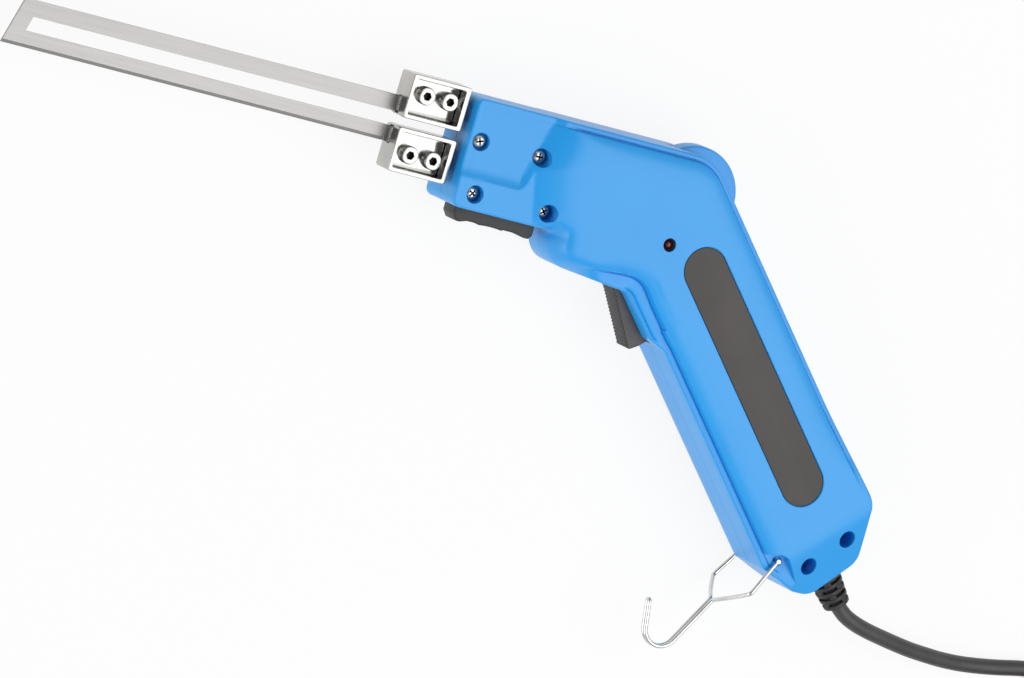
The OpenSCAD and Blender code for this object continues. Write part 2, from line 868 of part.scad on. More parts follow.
// Transformer pieces about the core's middle
module transformer() { mid() translate([core_x, core_y, 0]) children(); }
module ring_box(length, inner, outer) {
    difference() {
        cube([length, 2 * outer[0], 2 * outer[1]], center = true);
        cube([length + 2 * overrun, 2 * inner[0], 2 * inner[1]], center = true);
    }
}
module transformer_core() {
    color("#6b6a68") transformer() difference() {
        cube([core_len, core_w, core_stack], center = true);
        for (side = [-1, 1]) translate([0, side * (core_leg + window_w) / 2, 0])
            cube([window_len, window_w, 2 * core_stack], center = true);
    }
}
module bobbin() {
    spool = window_len - 2 * bobbin_gap;
    inner = [core_leg / 2 + bobbin_gap, core_stack / 2 + bobbin_gap];
    color(insulation) transformer() {
        ring_box(spool, inner, [tube_y, tube_z]);
        for (side = [-1, 1]) translate([side * (spool - bobbin_wall) / 2, 0, 0])
            ring_box(bobbin_wall, inner, [core_leg / 2 + window_w - flange_in, wind_z]);
    }
}
module primary_winding() {
    color(copper) transformer()
        ring_box(window_len - 2 * bobbin_gap - 2 * bobbin_wall - bobbin_gap,
            [tube_y + wind_gap, tube_z + wind_gap], [wind_y, wind_z]);
}
module secondary_strap() {
    tab_end = core_x + riser_x + bar_t;
    color(copper) transformer() {
        difference() {
            ring_box(strap_w, [strap_y, strap_z], [strap_y + strap_t, strap_z + strap_t]);
            translate([0, 0, strap_z]) cube([2 * strap_w, strap_slot, 2 * strap_t + 2 * wind_gap],
                center = true);
        }
        for (low = [strap_slot / 2, -strap_slot / 2 - tab_w])
            translate([-tab_end, low, strap_z]) cube([tab_end - strap_w / 2, tab_w, strap_t]);
    }
}

// Trigger with a row of fine ribs across its front face
rib_count = 9;
groove_w = 0.9;
groove_depth = 0.5;
module trigger() {
    front = trigger_outline[1] - trigger_outline[0];
    slope = atan2(front[1], front[0]);
    color(dark) grip() difference() {
        linear_extrude(height = trigger_t, center = true) polygon(trigger_outline);
        translate([pivot_s, pivot_n, 0])
            cylinder(r = pivot_r + run_gap, h = 2 * trigger_t, center = true);
        for (i = [1 : rib_count])
            translate(trigger_outline[0] + front * i / (rib_count + 1)) rotate([0, 0, slope])
                cube([groove_w, 2 * groove_depth, 2 * trigger_t], center = true);
    }
}
module trigger_pin() {
    color(steel) grip() translate([pivot_s, pivot_n, 0])
        cylinder(r = pivot_r, h = 2 * pivot_pin_half, center = true);
}
module micro_switch() {
    color(dark) grip() difference() {
        translate([switch_s, switch_n, -switch_t / 2]) cube([switch_len, switch_h, switch_t]);
        for (p = switch_posts) translate([p[0], p[1], 0])
            cylinder(r = switch_stud_r + seat_gap, h = 2 * switch_t, center = true);
        translate([plunger_s, switch_n - overrun, 0]) rotate([-90, 0, 0])
            cylinder(r = plunger_r + run_gap, h = plunger_in + plunger_room + overrun);
    }
}
module switch_plunger() {
    color("#b3322a") grip() translate([plunger_s, switch_n - plunger_out, 0]) rotate([-90, 0, 0])
        cylinder(r = plunger_r, h = plunger_out + plunger_in);
}

// Dial wheel with a rounded rim, on the potentiometer's shaft
module dial_wheel() {
    half = dial_t / 2;
    color(blue) mid() translate([dial_at[0], dial_at[1], 0]) rotate_extrude($fn = 96)
        polygon([[dial_shaft_r + dial_bore_gap, -half], [dial_r - rim_edge, -half],
            [dial_r, -half + rim_edge], [dial_r, half - rim_edge], [dial_r - rim_edge, half],
            [dial_shaft_r + dial_bore_gap, half]]);
}
module dial_shaft() {
    color(steel) mid() translate([dial_at[0], dial_at[1], -shaft_end])
        cylinder(r = dial_shaft_r, h = shaft_end + dial_t / 2);
}
module potentiometer() {
    color(dark) mid() translate([dial_at[0], dial_at[1], 0]) difference() {
        union() {
            translate([0, 0, -pot_base]) cylinder(r = pot_r, h = pot_base - pot_top);
            translate([0, 0, -pot_base]) cylinder(r = bushing_r, h = pot_base - bushing_top);
        }
        translate([0, 0, -shaft_end - pilot_tip])
            cylinder(r = dial_shaft_r + run_gap, h = shaft_end + pilot_tip);
    }
}

// Control board and what stands on it
cap_r = 5;
cap_h = 16;
cap_s_in = 12;
cap_n = 5;
triac_share = 0.69;
triac_w = 10;
triac_t = 4.6;
triac_h = 14;
module control_board() {
    color("#3f7a4a") grip() difference() {
        translate([board_s, -board_w / 2, -board_base]) cube([board_len, board_w, board_t]);
        for (p = board_posts) translate([p[0], p[1], -board_base - overrun])
            cylinder(r = stake_r + seat_gap, h = board_t + 2 * overrun);
    }
}
module capacitor() {
    color("#7a5a2e") grip() translate([board_s + cap_s_in, cap_n, -board_base + board_t])
        cylinder(r = cap_r, h = cap_h);
}
module triac() {
    color(dark) grip() translate([board_s + board_len * triac_share, -triac_w / 2, -board_base + board_t])
        cube([triac_t, triac_w, triac_h]);
}

// Indicator lamp in its holder
module indicator_lamp() {
    top = casing_half - lamp_sink - lamp_dome;
    color("#6e1216") mid() translate([lamp_at[0], lamp_at[1], 0]) {
        translate([0, 0, top - lamp_foot]) cylinder(r = lamp_r, h = lamp_foot);
        translate([0, 0, top]) cylinder(r1 = lamp_r, r2 = lamp_r * recess_share, h = lamp_dome);
    }
}
module lamp_holder() {
    top = casing_half - lamp_sink;
    color(dark) mid() translate([lamp_at[0], lamp_at[1], 0]) difference() {
        union() {
            translate([0, 0, top - holder_len]) cylinder(r = lamp_holder_r, h = holder_len);
            translate([0, 0, inner_roof - holder_flange_t])
                cylinder(r = holder_flange_r, h = holder_flange_t);
        }
        translate([0, 0, top - holder_len - overrun])
            cylinder(r = lamp_r + run_gap, h = holder_len + 2 * overrun);
    }
}
module label_plate() {
    color(label_grey) mid() label_place(casing_half - label_depth)
        stadium(label_len, label_w, label_t);
}

// Slide switch: fixed bezel, sliding knob and the switch body inside the nose
module slide_frame() { mid() translate([slide_x, -nose_drop, 0]) children(); }
module slide_bezel() {
    color(dark) slide_frame() difference() {
        union() {
            translate([-bezel_len / 2, -bezel_h, -bezel_w / 2]) cube([bezel_len, bezel_h, bezel_w]);
            for (side = [-1, 1]) translate([side * (bezel_len - bezel_end) / 2, -bezel_lip / 2, 0])
                cube([bezel_end, bezel_lip, bezel_w], center = true);
        }
        translate([-bezel_len / 2 + bezel_end, -bezel_lip - overrun, -channel_w / 2])
            cube([bezel_len - 2 * bezel_end, bezel_lip + overrun - bezel_floor, channel_w]);
        stem_slot(2 * bezel_lip);
    }
}
module slide_knob() {
    color(dark) slide_frame() {
        translate([-knob_len / 2, -bezel_floor - knob_gap - knob_h, -knob_w / 2])
            cube([knob_len, knob_h, knob_w]);
        translate([-stem_len / 2, -bezel_floor - knob_gap, -stem_w / 2])
            cube([stem_len, stem_up, stem_w]);
    }
}
module slide_switch() {
    color("#3a3a3c") slide_frame() translate([0, wall, 0]) difference() {
        translate([-slide_body_len / 2, 0, -slide_body_w / 2])
            cube([slide_body_len, slide_body_h, slide_body_w]);
        stem_slot(2 * slide_cavity);
    }
}

// Hanging hook: one wire bent double, forked to two hinge pins
elbow = [4.7, -16.1];
leg_share = 0.5;
fork_end = [5.7, -26.1];
mouth_mid = [5, -48.8];
mouth_start = 16;
mouth_turn = -140;
mouth_steps = 10;
tip_run = 10;
tip_steps = 6;
wire_pitch_share = 1.12;
wire_sides = 8;
wire_up = [cos(126), sin(126), 0];
function lifted(p, z) = [p[0], p[1], z];
function mouth_pt(t) = mouth_mid + hook_r * [cos(mouth_start + mouth_turn * t),
    sin(mouth_start + mouth_turn * t)];
module hanging_hook() {
    half = wire_r * wire_pitch_share;
    tip_dir = spun([0, -1], mouth_start + mouth_turn);
    tip = mouth_pt(1) + tip_run * tip_dir;
    leg = [
        [0, 0, hinge_z], lifted(elbow * leg_share, hinge_z + (fork_half - hinge_z) * leg_share),
        lifted(elbow, fork_half),
        lifted(fork_end, half), lifted((fork_end + mouth_pt(0)) / 2, half),
        for (k = [0 : mouth_steps]) lifted(mouth_pt(k / mouth_steps), half)
    ];
    tip_bend = [
        for (k = [0 : tip_steps]) let (a = 90 - 180 * k / tip_steps)
            lifted(tip + tip_dir * half * cos(a), half * sin(a))
    ];
    back = [for (i = [len(leg) - 1 : -1 : 0]) lifted(leg[i], -leg[i][2])];
    color(nickel) grip() translate([hinge_s, -hinge_n, 0]) {
        tube(concat(leg, tip_bend, back), wire_r, wire_sides, wire_up);
        for (side = [-1, 1]) mirror([0, 0, side < 0 ? 1 : 0])
            translate([0, 0, hinge_z - hook_pin]) cylinder(r = wire_r, h = hook_pin + wire_r);
    }
}

// Strain relief turned about the lead's axis, and the lead inside the handle
module along_lead(s) { grip() translate([s, lead_n, 0]) rotate([0, 90, 0]) children(); }
module strain_relief() {
    collar = relief_in - relief_skew;
    collar_end = collar + relief_collar_t;
    pitch = relief_len / relief_ribs;
    color(dark) along_lead(handle_length - relief_in) difference() {
        union() {
            cylinder(r = relief_flange_r, h = relief_flange_t);
            cylinder(r = relief_neck_r, h = collar_end);
            translate([0, 0, collar]) cylinder(r = relief_collar_r, h = relief_collar_t);
            translate([0, 0, collar_end])
                cylinder(r1 = relief_base_r, r2 = relief_tip_r, h = relief_len);
        }
        for (i = [0 : relief_ribs - 1]) translate([0, 0, collar_end + i * pitch + pitch / 4])
            difference() {
                cylinder(r = relief_collar_r, h = pitch / 2);
                translate([0, 0, -overrun])
                    cylinder(r = relief_tip_r - rib_depth, h = pitch / 2 + 2 * overrun);
            }
    }
}
module inner_cord() {
    start = block_s + block_s_len;
    color(dark) along_lead(start) cylinder(r = cord_r, h = handle_length - relief_in - start);
}

// Cord clamp and terminal block
block_share = 0.67;
block_s = handle_length * block_share;
block_s_len = 16;
block_n_w = 16;
block_top_z = 4;
terminal_r = 1.6;
terminal_pitch = 7;
terminal_depth = 6;
module cord_clamp() {
    color("#3a3a3c") grip() translate([clamp_s + clamp_w / 2, lead_n, cord_r]) difference() {
        translate([-clamp_w / 2, -clamp_side - clamp_end, 0])
            cube([clamp_w, 2 * (clamp_side + clamp_end), clamp_bar_t]);
        for (side = [-1, 1]) translate([0, side * clamp_side, -overrun])
            cylinder(r = screw_r + shank_gap, h = clamp_bar_t + 2 * overrun);
    }
}
module cord_clamp_screws() {
    color(nickel) grip() for (side = [-1, 1])
        translate([clamp_s + clamp_w / 2, lead_n + side * clamp_side, cord_r + clamp_bar_t])
            pan_screw(clamp_bar_t + clamp_screw_depth);
}
module terminal_block() {
    color(insulation) grip() translate([block_s, lead_n - block_n_w / 2, 0]) difference() {
        translate([0, 0, -inner_roof]) cube([block_s_len, block_n_w, inner_roof + block_top_z]);
        for (side = [-1, 1])
            translate([block_s_len / 2, (block_n_w + side * terminal_pitch) / 2,
                block_top_z - terminal_depth])
                cylinder(r = terminal_r, h = 2 * terminal_depth);
    }
}

// Mains lead: a swept tube along hand chosen points, then a coil in two layers
exit_run = 1;
lead_exit = grip_pt(relief_end, lead_n);
lead_out = grip_pt(relief_end + exit_run, lead_n);
cord_sides = 8;
cord_route = [
    [lead_exit[0], lead_exit[1], casing_half], [lead_out[0], lead_out[1], casing_half],
    [133.2, -141.7, 18.7], [139, -144.1, 18], [145.5, -145.8, 16.9], [152.4, -147.1, 15.4],
    [160, -148.4, 13.5], [168.7, -149.7, 11.2], [177, -150.5, 9], [186, -151.1, 6.8],
    [195, -151.1, 5], [204, -150.4, 3.8], [213, -149.2, 3.3], [222, -147.6, 3.2],
    [232, -146.4, 3.5], [242, -146, 3.9],
    [248, -146, 4], [254, -146, 4]
];
coil_start = cord_route[len(cord_route) - 1];
coil_sides = 6;
coil_rings = 24;
coil_mid_turn = coil_turns / 2;
coil_outer_r = coil_inner_r + coil_pitch * coil_mid_turn;
coil_centre = coil_start + [cord_d, -coil_outer_r, 0];
function smooth(t) = let (k = max(0, min(1, t))) k * k * (3 - 2 * k);
function coil_pt(u) = let (r = coil_inner_r + coil_pitch * abs(u - coil_mid_turn)) coil_centre
    + [r * sin(360 * u), r * cos(360 * u), coil_pitch * smooth(2 * (u - coil_mid_turn) + 1 / 2)];
coil_last = coil_pt(coil_turns);
coil_path = concat(
    [coil_start],
    [for (i = [0 : coil_turns * coil_rings]) coil_pt(i / coil_rings)],
    [coil_last - [cord_d, 0, 0]]
);
// Least clear space between two stretches of the coil at least half a turn apart
coil_gap = min([
    for (i = [0 : len(coil_path) - 1]) for (j = [i + coil_rings / 2 : len(coil_path) - 1])
        norm(coil_path[i] - coil_path[j]) - cord_d
]);
echo(coil_gap = coil_gap);

module tube(path, r, sides, up = [0, 0, 1]) {
    last = len(path) - 1;
    points = [
        for (i = [0 : last])
            let (
                d = unit(path[min(i + 1, last)] - path[max(i - 1, 0)]),
                a = unit(cross(d, up)),
                b = cross(a, d)
            )
            for (k = [0 : sides - 1])
                path[i] + r * (cos(360 * k / sides) * a + sin(360 * k / sides) * b)
    ];
    walls = [
        for (i = [0 : last - 1]) for (k = [0 : sides - 1])
            let (m = (k + 1) % sides, low = i * sides, high = low + sides)
            each [[low + k, low + m, high + m], [low + k, high + m, high + k]]
    ];
    first_cap = [for (k = [1 : sides - 2]) [0, k + 1, k]];
    last_cap = [for (k = [1 : sides - 2]) [last * sides, last * sides + k, last * sides + k + 1]];
    polyhedron(points, concat(walls, first_cap, last_cap), convexity = 10);
}
module power_cord() { color(dark) tube(cord_route, cord_r, cord_sides); }
module cord_coil() { color(dark) tube(coil_path, cord_r, coil_sides); }

// Straight end of the lead and its plug, lying flat
tail_len = 22;
plug_round = 4;
plug_tail = 14;
plug_tail_r = 7;
plug_neck_r = 4.5;
pin_cap = 1.2;
tail_start = coil_last - [cord_d, 0, 0];
plug_at = [tail_start[0] - tail_len, tail_start[1], plug_t / 2];
tail_share = 0.3;
module cord_tail() {
    ease = [tail_len * tail_share, 0, 0];
    color(dark) tube([tail_start, tail_start - ease, plug_at + ease, plug_at], cord_r, cord_sides);
}
module plug_body() {
    color(dark) translate(plug_at) rotate([0, -90, 0]) {
        cylinder(r1 = plug_neck_r, r2 = plug_tail_r, h = plug_tail);
        translate([0, 0, plug_tail]) linear_extrude(height = plug_len)
            polygon(rounded(box_corners(plug_t, plug_w, plug_round), 0));
    }
}
module plug_pins() {
    color(nickel) translate(plug_at) rotate([0, -90, 0]) for (side = [-1, 1])
        translate([0, side * plug_pin_pitch / 2, plug_tail + plug_len]) {
            cylinder(r = plug_pin_r, h = plug_pin_len - pin_cap);
            translate([0, 0, plug_pin_len - pin_cap])
                cylinder(r1 = plug_pin_r, r2 = plug_pin_r * recess_share, h = pin_cap);
        }
}

// Tie round the coil's bundle, lying on the surface
tie_t = 0.6;
tie_w = 8;
tie_gap = tie_t + 0.7;
tie_round = 3;
module cord_tie() {
    low = coil_inner_r + coil_pitch / 2 - cord_r - tie_gap;
    high = coil_outer_r + cord_r + tie_gap;
    top = coil_start[2] + coil_pitch + cord_r + tie_gap;
    color(dark) translate([coil_centre[0] + (low + high) / 2, coil_centre[1], top / 2])
        rotate([90, 0, 0]) linear_extrude(height = tie_w, center = true) difference() {
            polygon(rounded(box_corners(high - low, top, tie_round), 0));
            polygon(rounded(box_corners(high - low, top, tie_round), tie_t));
        }
}

near_shell();
far_shell();
housing_screws();
blade();
upper_clamp_cage();
lower_clamp_cage();
upper_clamp_plate();
lower_clamp_plate();
clamp_screws();
upper_conductor();
lower_conductor();
nose_insulator();
transformer_core();
bobbin();
primary_winding();
secondary_strap();
trigger();
trigger_pin();
micro_switch();
switch_plunger();
dial_wheel();
dial_shaft();
potentiometer();
control_board();
capacitor();
triac();
indicator_lamp();
lamp_holder();
label_plate();
slide_bezel();
slide_knob();
slide_switch();
hanging_hook();
strain_relief();
inner_cord();
cord_clamp();
cord_clamp_screws();
terminal_block();
power_cord();
cord_coil();
cord_tail();
cord_tie();
plug_body();
plug_pins();
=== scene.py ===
"""Electric hot knife on a pale studio floor: its surfaces, finishes, lead, light and camera.

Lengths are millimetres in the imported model's own frame and become metres when a mesh is made.
X runs along the barrel with the blade towards -X, Y is the tool's top edge, Z is up from the floor.
"""

import logging
import math
from dataclasses import dataclass, field
from enum import Enum

import bpy
import numpy as np
from mathutils import Matrix, Vector


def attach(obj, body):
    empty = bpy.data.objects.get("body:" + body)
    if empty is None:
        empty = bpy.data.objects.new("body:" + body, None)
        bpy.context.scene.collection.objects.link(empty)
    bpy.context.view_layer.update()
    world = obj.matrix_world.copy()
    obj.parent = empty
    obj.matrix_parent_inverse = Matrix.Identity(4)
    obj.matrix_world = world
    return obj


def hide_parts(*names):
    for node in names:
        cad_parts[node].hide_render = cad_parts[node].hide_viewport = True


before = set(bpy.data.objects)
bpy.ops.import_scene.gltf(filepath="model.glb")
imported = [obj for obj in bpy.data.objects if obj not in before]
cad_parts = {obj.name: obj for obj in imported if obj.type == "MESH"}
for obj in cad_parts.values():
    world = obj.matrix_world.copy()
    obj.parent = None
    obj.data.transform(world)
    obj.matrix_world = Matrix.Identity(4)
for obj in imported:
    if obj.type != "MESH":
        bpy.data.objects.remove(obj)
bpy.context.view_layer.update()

LOG = logging.getLogger("hot_knife")
MM = 0.001
MID = 19.0
GRIP_ANGLE = math.radians(47.0)
GRIP_COS, GRIP_SIN = math.cos(GRIP_ANGLE), math.sin(GRIP_ANGLE)
SPLIT_ANGLE = math.radians(32.0)

# Places that sub-assemblies share: along and square to the handle, or in plan
HINGE = (154.5, -19.2)
LABEL_AT = (82.7, 1.3)
LABEL_SIZE = (113.0, 17.6)
LEAD_N = -0.2
DIAL_AT = (17.3, 0.6)
LAMP_AT = (7.2, -18.8)
NOSE_DROP = 25.25
SLIDE_AT = (-59.5, -NOSE_DROP)
# Length and half width of the slot that the slide switch's stem runs in
SLIDE_SLOT = (14.8, 2.4)
# How far a cut runs past the face that it opens, and the height at which cuts run out over the casing
PAST = 1.0
CLEAR = 30.0
# Least corner radius of an outline
SHARP = 0.05
BOTH_SIDES = (-1, 1)
# A direction that no path starts along
ASKEW = (0.31, 0.17, 0.93)
# Shares of slow noise between which a finish turns from its second tone to its main one
TONE_BAND = (0.3, 0.65)
# Scale at which a wave texture repeats once a unit
WAVE_UNIT = 0.314


class Body(Enum):
    """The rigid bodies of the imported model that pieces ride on."""

    CASING = "casing"
    TRIGGER = "trigger"
    DIAL = "dial"
    KNOB = "slide_knob"
    HOOK = "hook"


class EdgeMark(Enum):
    """Corners of the casing's outline, clockwise from the nose's top."""

    NOSE_TOP = 0
    REAR = 1
    HEEL = 2
    END_BACK = 3
    END_FRONT = 4
    TOE = 5
    TOE_START = 6
    LIP_FOOT = 7
    LIP_END = 8
    CROTCH = 9
    BELLY = 10
    SCALLOP = 11
    NOSE_FOOT = 12


def linear(hex_colour: str) -> tuple[float, float, float, float]:
    """Turns an sRGB hex colour into linear RGBA.

    Args:
        hex_colour: Six hex digits after a hash.

    Returns:
        Linear red, green, blue and an alpha of one.
    """
    srgb = np.array([int(hex_colour[i : i + 2], 16) for i in (1, 3, 5)]) / 255.0
    rgb = np.where(srgb <= 0.04045, srgb / 12.92, ((srgb + 0.055) / 1.055) ** 2.4)
    return (*rgb.tolist(), 1.0)


def put(tree: bpy.types.NodeTree, kind: str, inputs: dict | None = None, **settings) -> bpy.types.Node:
    """Adds one shader node with its settings, constants and links.

    Args:
        tree: The node tree that takes the node.
        kind: Node type without its ShaderNode prefix.
        inputs: Socket name or index to a constant, or to the output socket that feeds it.
        **settings: Attributes of the node itself.

    Returns:
        The new node.
    """
    made = tree.nodes.new("ShaderNode" + kind)
    for name, value in settings.items():
        setattr(made, name, value)
    for name, value in (inputs or {}).items():
        if isinstance(value, bpy.types.NodeSocket):
            tree.links.new(value, made.inputs[name])
        else:
            made.inputs[name].default_value = value
    return made


@dataclass(frozen=True)
class Finish:
    """One surface finish: two close tones, a grain in the surface and a soft moulded or worn edge.

    Attributes:
        name: What the material is and how its surface was made.
        colour: Main tone as an sRGB hex value.
        tone: Second tone, mixed in by slow noise.
        tone_mm: Size of the slow patches of the second tone.
        metallic: One for bare metal, zero for the rest.
        roughness: Mean roughness.
        swing: How far the roughness strays from the mean.
        grain_mm: Size of the surface grain.
        grain_up_mm: Height of the grain.
        stretch: Scale of the grain along X, Y and Z, small along a brushed or drawn direction.
        edge_mm: Radius that the light sees on sharp edges.
        ior: Index of refraction, typical of plastics and resins; metals keep the default, which is the same.
        coat: Weight of a clear gloss layer.
        coat_rough: Roughness of that layer.
        band_mm: Spacing of fine bands along Z, zero for none.
    """

    name: str
    colour: str
    tone: str
    tone_mm: float = 30.0
    metallic: float = 0.0
    roughness: float = 0.4
    swing: float = 0.06
    grain_mm: float = 0.8
    grain_up_mm: float = 0.01
    stretch: tuple[float, float, float] = (1.0, 1.0, 1.0)
    edge_mm: float = 0.25
    ior: float = 1.5
    coat: float = 0.0
    coat_rough: float = 0.08
    band_mm: float = 0.0

    def material(self) -> bpy.types.Material:
        """Gives the material, made on its first use.

        Returns:
            The Blender material that carries this finish.
        """
        known = bpy.data.materials.get(self.name)
        if known:
            return known
        made = bpy.data.materials.new(self.name)
        made.use_nodes = True
        tree = made.node_tree
        tree.nodes.clear()
        place = put(tree, "TexCoord").outputs["Object"]
        drawn = put(tree, "Mapping", {"Vector": place, "Scale": self.stretch}).outputs["Vector"]
        fine = put(tree, "TexNoise", {"Vector": drawn, "Scale": 1 / (self.grain_mm * MM), "Detail": 2.0})
        colour, height = self._tones(tree, drawn), fine.outputs["Fac"]
        if self.band_mm:
            colour, height = self._bands(tree, place)
        rough = put(tree, "MapRange", {"Value": fine.outputs["Fac"], "To Min": self.roughness - self.swing,
                                       "To Max": self.roughness + self.swing})
        worn = put(tree, "Bevel", {"Radius": self.edge_mm * MM}, samples=4)
        bump = put(tree, "Bump", {"Height": height, "Distance": self.grain_up_mm * MM, "Strength": 1.0,
                                  "Normal": worn.outputs["Normal"]})
        sockets = {
            "Base Color": colour,
            "Metallic": self.metallic,
            "Roughness": rough.outputs["Result"],
            "Normal": bump.outputs["Normal"],
            "IOR": self.ior,
            "Coat Weight": self.coat,
            "Coat Roughness": self.coat_rough,
        }
        shader = put(tree, "BsdfPrincipled", sockets)
        put(tree, "OutputMaterial", {"Surface": shader.outputs["BSDF"]})
        return made

    def _tones(self, tree: bpy.types.NodeTree, place: bpy.types.NodeSocket) -> bpy.types.NodeSocket:
        """Colour that wanders between the two tones with slow noise.

        Args:
            tree: The material's nodes.
            place: Coordinates that the noise reads.

        Returns:
            The colour's socket.
        """
        slow = put(tree, "TexNoise", {"Vector": place, "Scale": 1 / (self.tone_mm * MM), "Detail": 3.0})
        tones = put(tree, "ValToRGB", {"Fac": slow.outputs["Fac"]})
        for stop, at, colour in zip(tones.color_ramp.elements, TONE_BAND, (self.tone, self.colour)):
            stop.position = at
            stop.color = linear(colour)
        return tones.outputs["Color"]

    def _bands(self, tree: bpy.types.NodeTree, place: bpy.types.NodeSocket) -> tuple[bpy.types.NodeSocket, ...]:
        """Bands along Z in the two tones.

        Args:
            tree: The material's nodes.
            place: Coordinates that the bands read.

        Returns:
            Sockets of the colour and of the height.
        """
        bands = put(tree, "TexWave", {"Vector": place, "Scale": WAVE_UNIT / (self.band_mm * MM), "Distortion": 0.0},
                    bands_direction="Z").outputs["Fac"]
        mixed = put(tree, "Mix", {"Factor": bands, "A": linear(self.tone), "B": linear(self.colour)}, data_type="RGBA")
        return mixed.outputs["Result"], bands


# Moulded ABS with a fine satin texture: even saturated blue, soft broad highlights
BLUE_ABS = Finish("abs_satin_blue", "#169eec", "#129ae8", 45, roughness=0.42, grain_mm=0.9, grain_up_mm=0.004,
                  coat=0.3, coat_rough=0.34)
# Moulded nylon, matt and slightly grainy: charcoal with a grey bloom on its edges
BLACK_NYLON = Finish("nylon_matt_black", "#2b2929", "#322f2f", 12, roughness=0.5, grain_up_mm=0.012)
# The same nylon painted lighter as a lit copy, a painted highlight on the trigger's up-facing sides: smoother and
# greyer
LIT_COPY_NYLON = Finish("nylon_painted_lit_charcoal", "#4a4747", "#413e3e", 10, roughness=0.4, grain_up_mm=0.008)
# The same nylon painted blue black as the shade deep in a hole, where no bloom shows
SHADE_PAINTED_NYLON = Finish("nylon_painted_shade_blue_black", "#0b0c16", "#10111c", 6, roughness=0.62, grain_up_mm=0.012)
# Steel painted almost black as the shade deep in screw recesses: dull
RECESS_SHADE_STEEL = Finish("steel_painted_recess_shade", "#1d1b1a", "#2a2725", 2, 0.3, 0.6, 0.08, 0.6, 0.01, edge_mm=0.05)
# Rolled steel strip ground along its length: pale satin grey with fine lengthwise lines
STRIP_STEEL = Finish("steel_strip_ground", "#a09f9d", "#969594", 60, 1.0, 0.4, 0.05, 1.2, 0.004,
                     (0.05, 1.0, 1.0), edge_mm=0.1)
# Bright nickel plate over pressed steel: mirror like with a slight waviness
NICKEL_PLATE = Finish("nickel_plate_bright", "#bcbbb8", "#b2b1ae", 8, 1.0, 0.2, 0.05, 2.5, 0.006, edge_mm=0.3)
# Polished steel plate: mirrors the screws, with faint ripples
PLATE_STEEL = Finish("steel_plate_polished", "#c6c6c4", "#bcbcba", 6, 1.0, 0.16, 0.05, 1.4, 0.005, edge_mm=0.3)
# Zinc plated screw steel: bright, cooler than the nickel
ZINC_SCREW = Finish("zinc_plate_screw", "#e2e0da", "#cecbc4", 4, 1.0, 0.24, 0.05, 1.0, 0.004, edge_mm=0.15)
# Drawn spring wire, polished by drawing: long fine lines and a clear highlight
SPRING_WIRE = Finish("spring_wire_drawn", "#dcdcda", "#cccccb", 10, 1.0, 0.22, 0.04, 1.0, 0.003, edge_mm=0.1)
# Lacquered plate: dark brown grey with a soft gloss
LABEL_LACQUER = Finish("plate_lacquer_brown_grey", "#2f2824", "#26201d", 24, roughness=0.34, grain_up_mm=0.002)
# Tinted clear resin of a lamp that is off: deep red, glossy
RED_RESIN = Finish("resin_tinted_red", "#7a1418", "#5d0d11", 3, roughness=0.12, swing=0.02, coat=0.6,
                   grain_up_mm=0.001)
# Flexible vinyl of the lead: near black with a satin bloom
LEAD_VINYL = Finish("vinyl_satin_black", "#3a3939", "#434141", 9, roughness=0.44, grain_mm=0.6, grain_up_mm=0.01)
# Bare copper, rolled: warm and slightly dulled
ROLLED_COPPER = Finish("copper_rolled", "#c98a5e", "#b87648", 10, 1.0, 0.35, 0.06, 1.0, 0.004, (0.1, 1, 1))
# Varnished core sheets: dark grey bands one sheet thick
CORE_SHEETS = Finish("core_sheets_varnished", "#6a6866", "#3a3938", 10, 0.6, 0.5, band_mm=1.0, grain_up_mm=0.05)
# Heat resisting pressed resin: pale and chalky
PALE_RESIN = Finish("resin_pressed_pale", "#d9ceb6", "#cbbd9f", 14, roughness=0.6)
# Solder masked glass board: deep green with a soft gloss
BOARD_MASK = Finish("board_solder_mask", "#2f7a46", "#27693b", 6, roughness=0.35)
# Shrink sleeve on a capacitor: brown, tight and glossy
SHRINK_SLEEVE = Finish("sleeve_shrunk_brown", "#7b5326", "#6a461f", 5, roughness=0.3)
# Red acetal of a switch plunger: smooth and a little waxy
RED_ACETAL = Finish("acetal_smooth_red", "#b4332a", "#a32b24", 5, roughness=0.35)

CAD_FINISHES: dict[str, Finish] = {
    "blade": STRIP_STEEL,
    "upper_conductor": ROLLED_COPPER,
    "lower_conductor": ROLLED_COPPER,
    "primary_winding": ROLLED_COPPER,
    "secondary_strap": ROLLED_COPPER,
    "transformer_core": CORE_SHEETS,
    "nose_insulator": PALE_RESIN,
    "bobbin": PALE_RESIN,
    "terminal_block": PALE_RESIN,
    "trigger_pin": ZINC_SCREW,
    "dial_shaft": ZINC_SCREW,
    "cord_clamp_screws": ZINC_SCREW,
    "micro_switch": BLACK_NYLON,
    "potentiometer": BLACK_NYLON,
    "slide_switch": BLACK_NYLON,
    "triac": BLACK_NYLON,
    "cord_clamp": BLACK_NYLON,
    "switch_plunger": RED_ACETAL,
    "control_board": BOARD_MASK,
    "capacitor": SHRINK_SLEEVE,
    "inner_cord": LEAD_VINYL,
}

Surface = tuple[np.ndarray, list[list[int]]]


def grip_point(s: float, n: float) -> np.ndarray:
    """Gives the plan point s along the handle from the origin and n square to it, towards its rear."""
    return np.array([s * GRIP_COS + n * GRIP_SIN, n * GRIP_COS - s * GRIP_SIN])


def grip_places(points: np.ndarray) -> np.ndarray:
    """Turns points with (s, n) in their first two columns into plan coordinates, keeping the rest.

    Args:
        points: Points with s along the handle and n square to it.

    Returns:
        The points, turned by the handle's angle.
    """
    out = np.array(points, float)
    out[..., 0] = points[..., 0] * GRIP_COS + points[..., 1] * GRIP_SIN
    out[..., 1] = points[..., 1] * GRIP_COS - points[..., 0] * GRIP_SIN
    return out


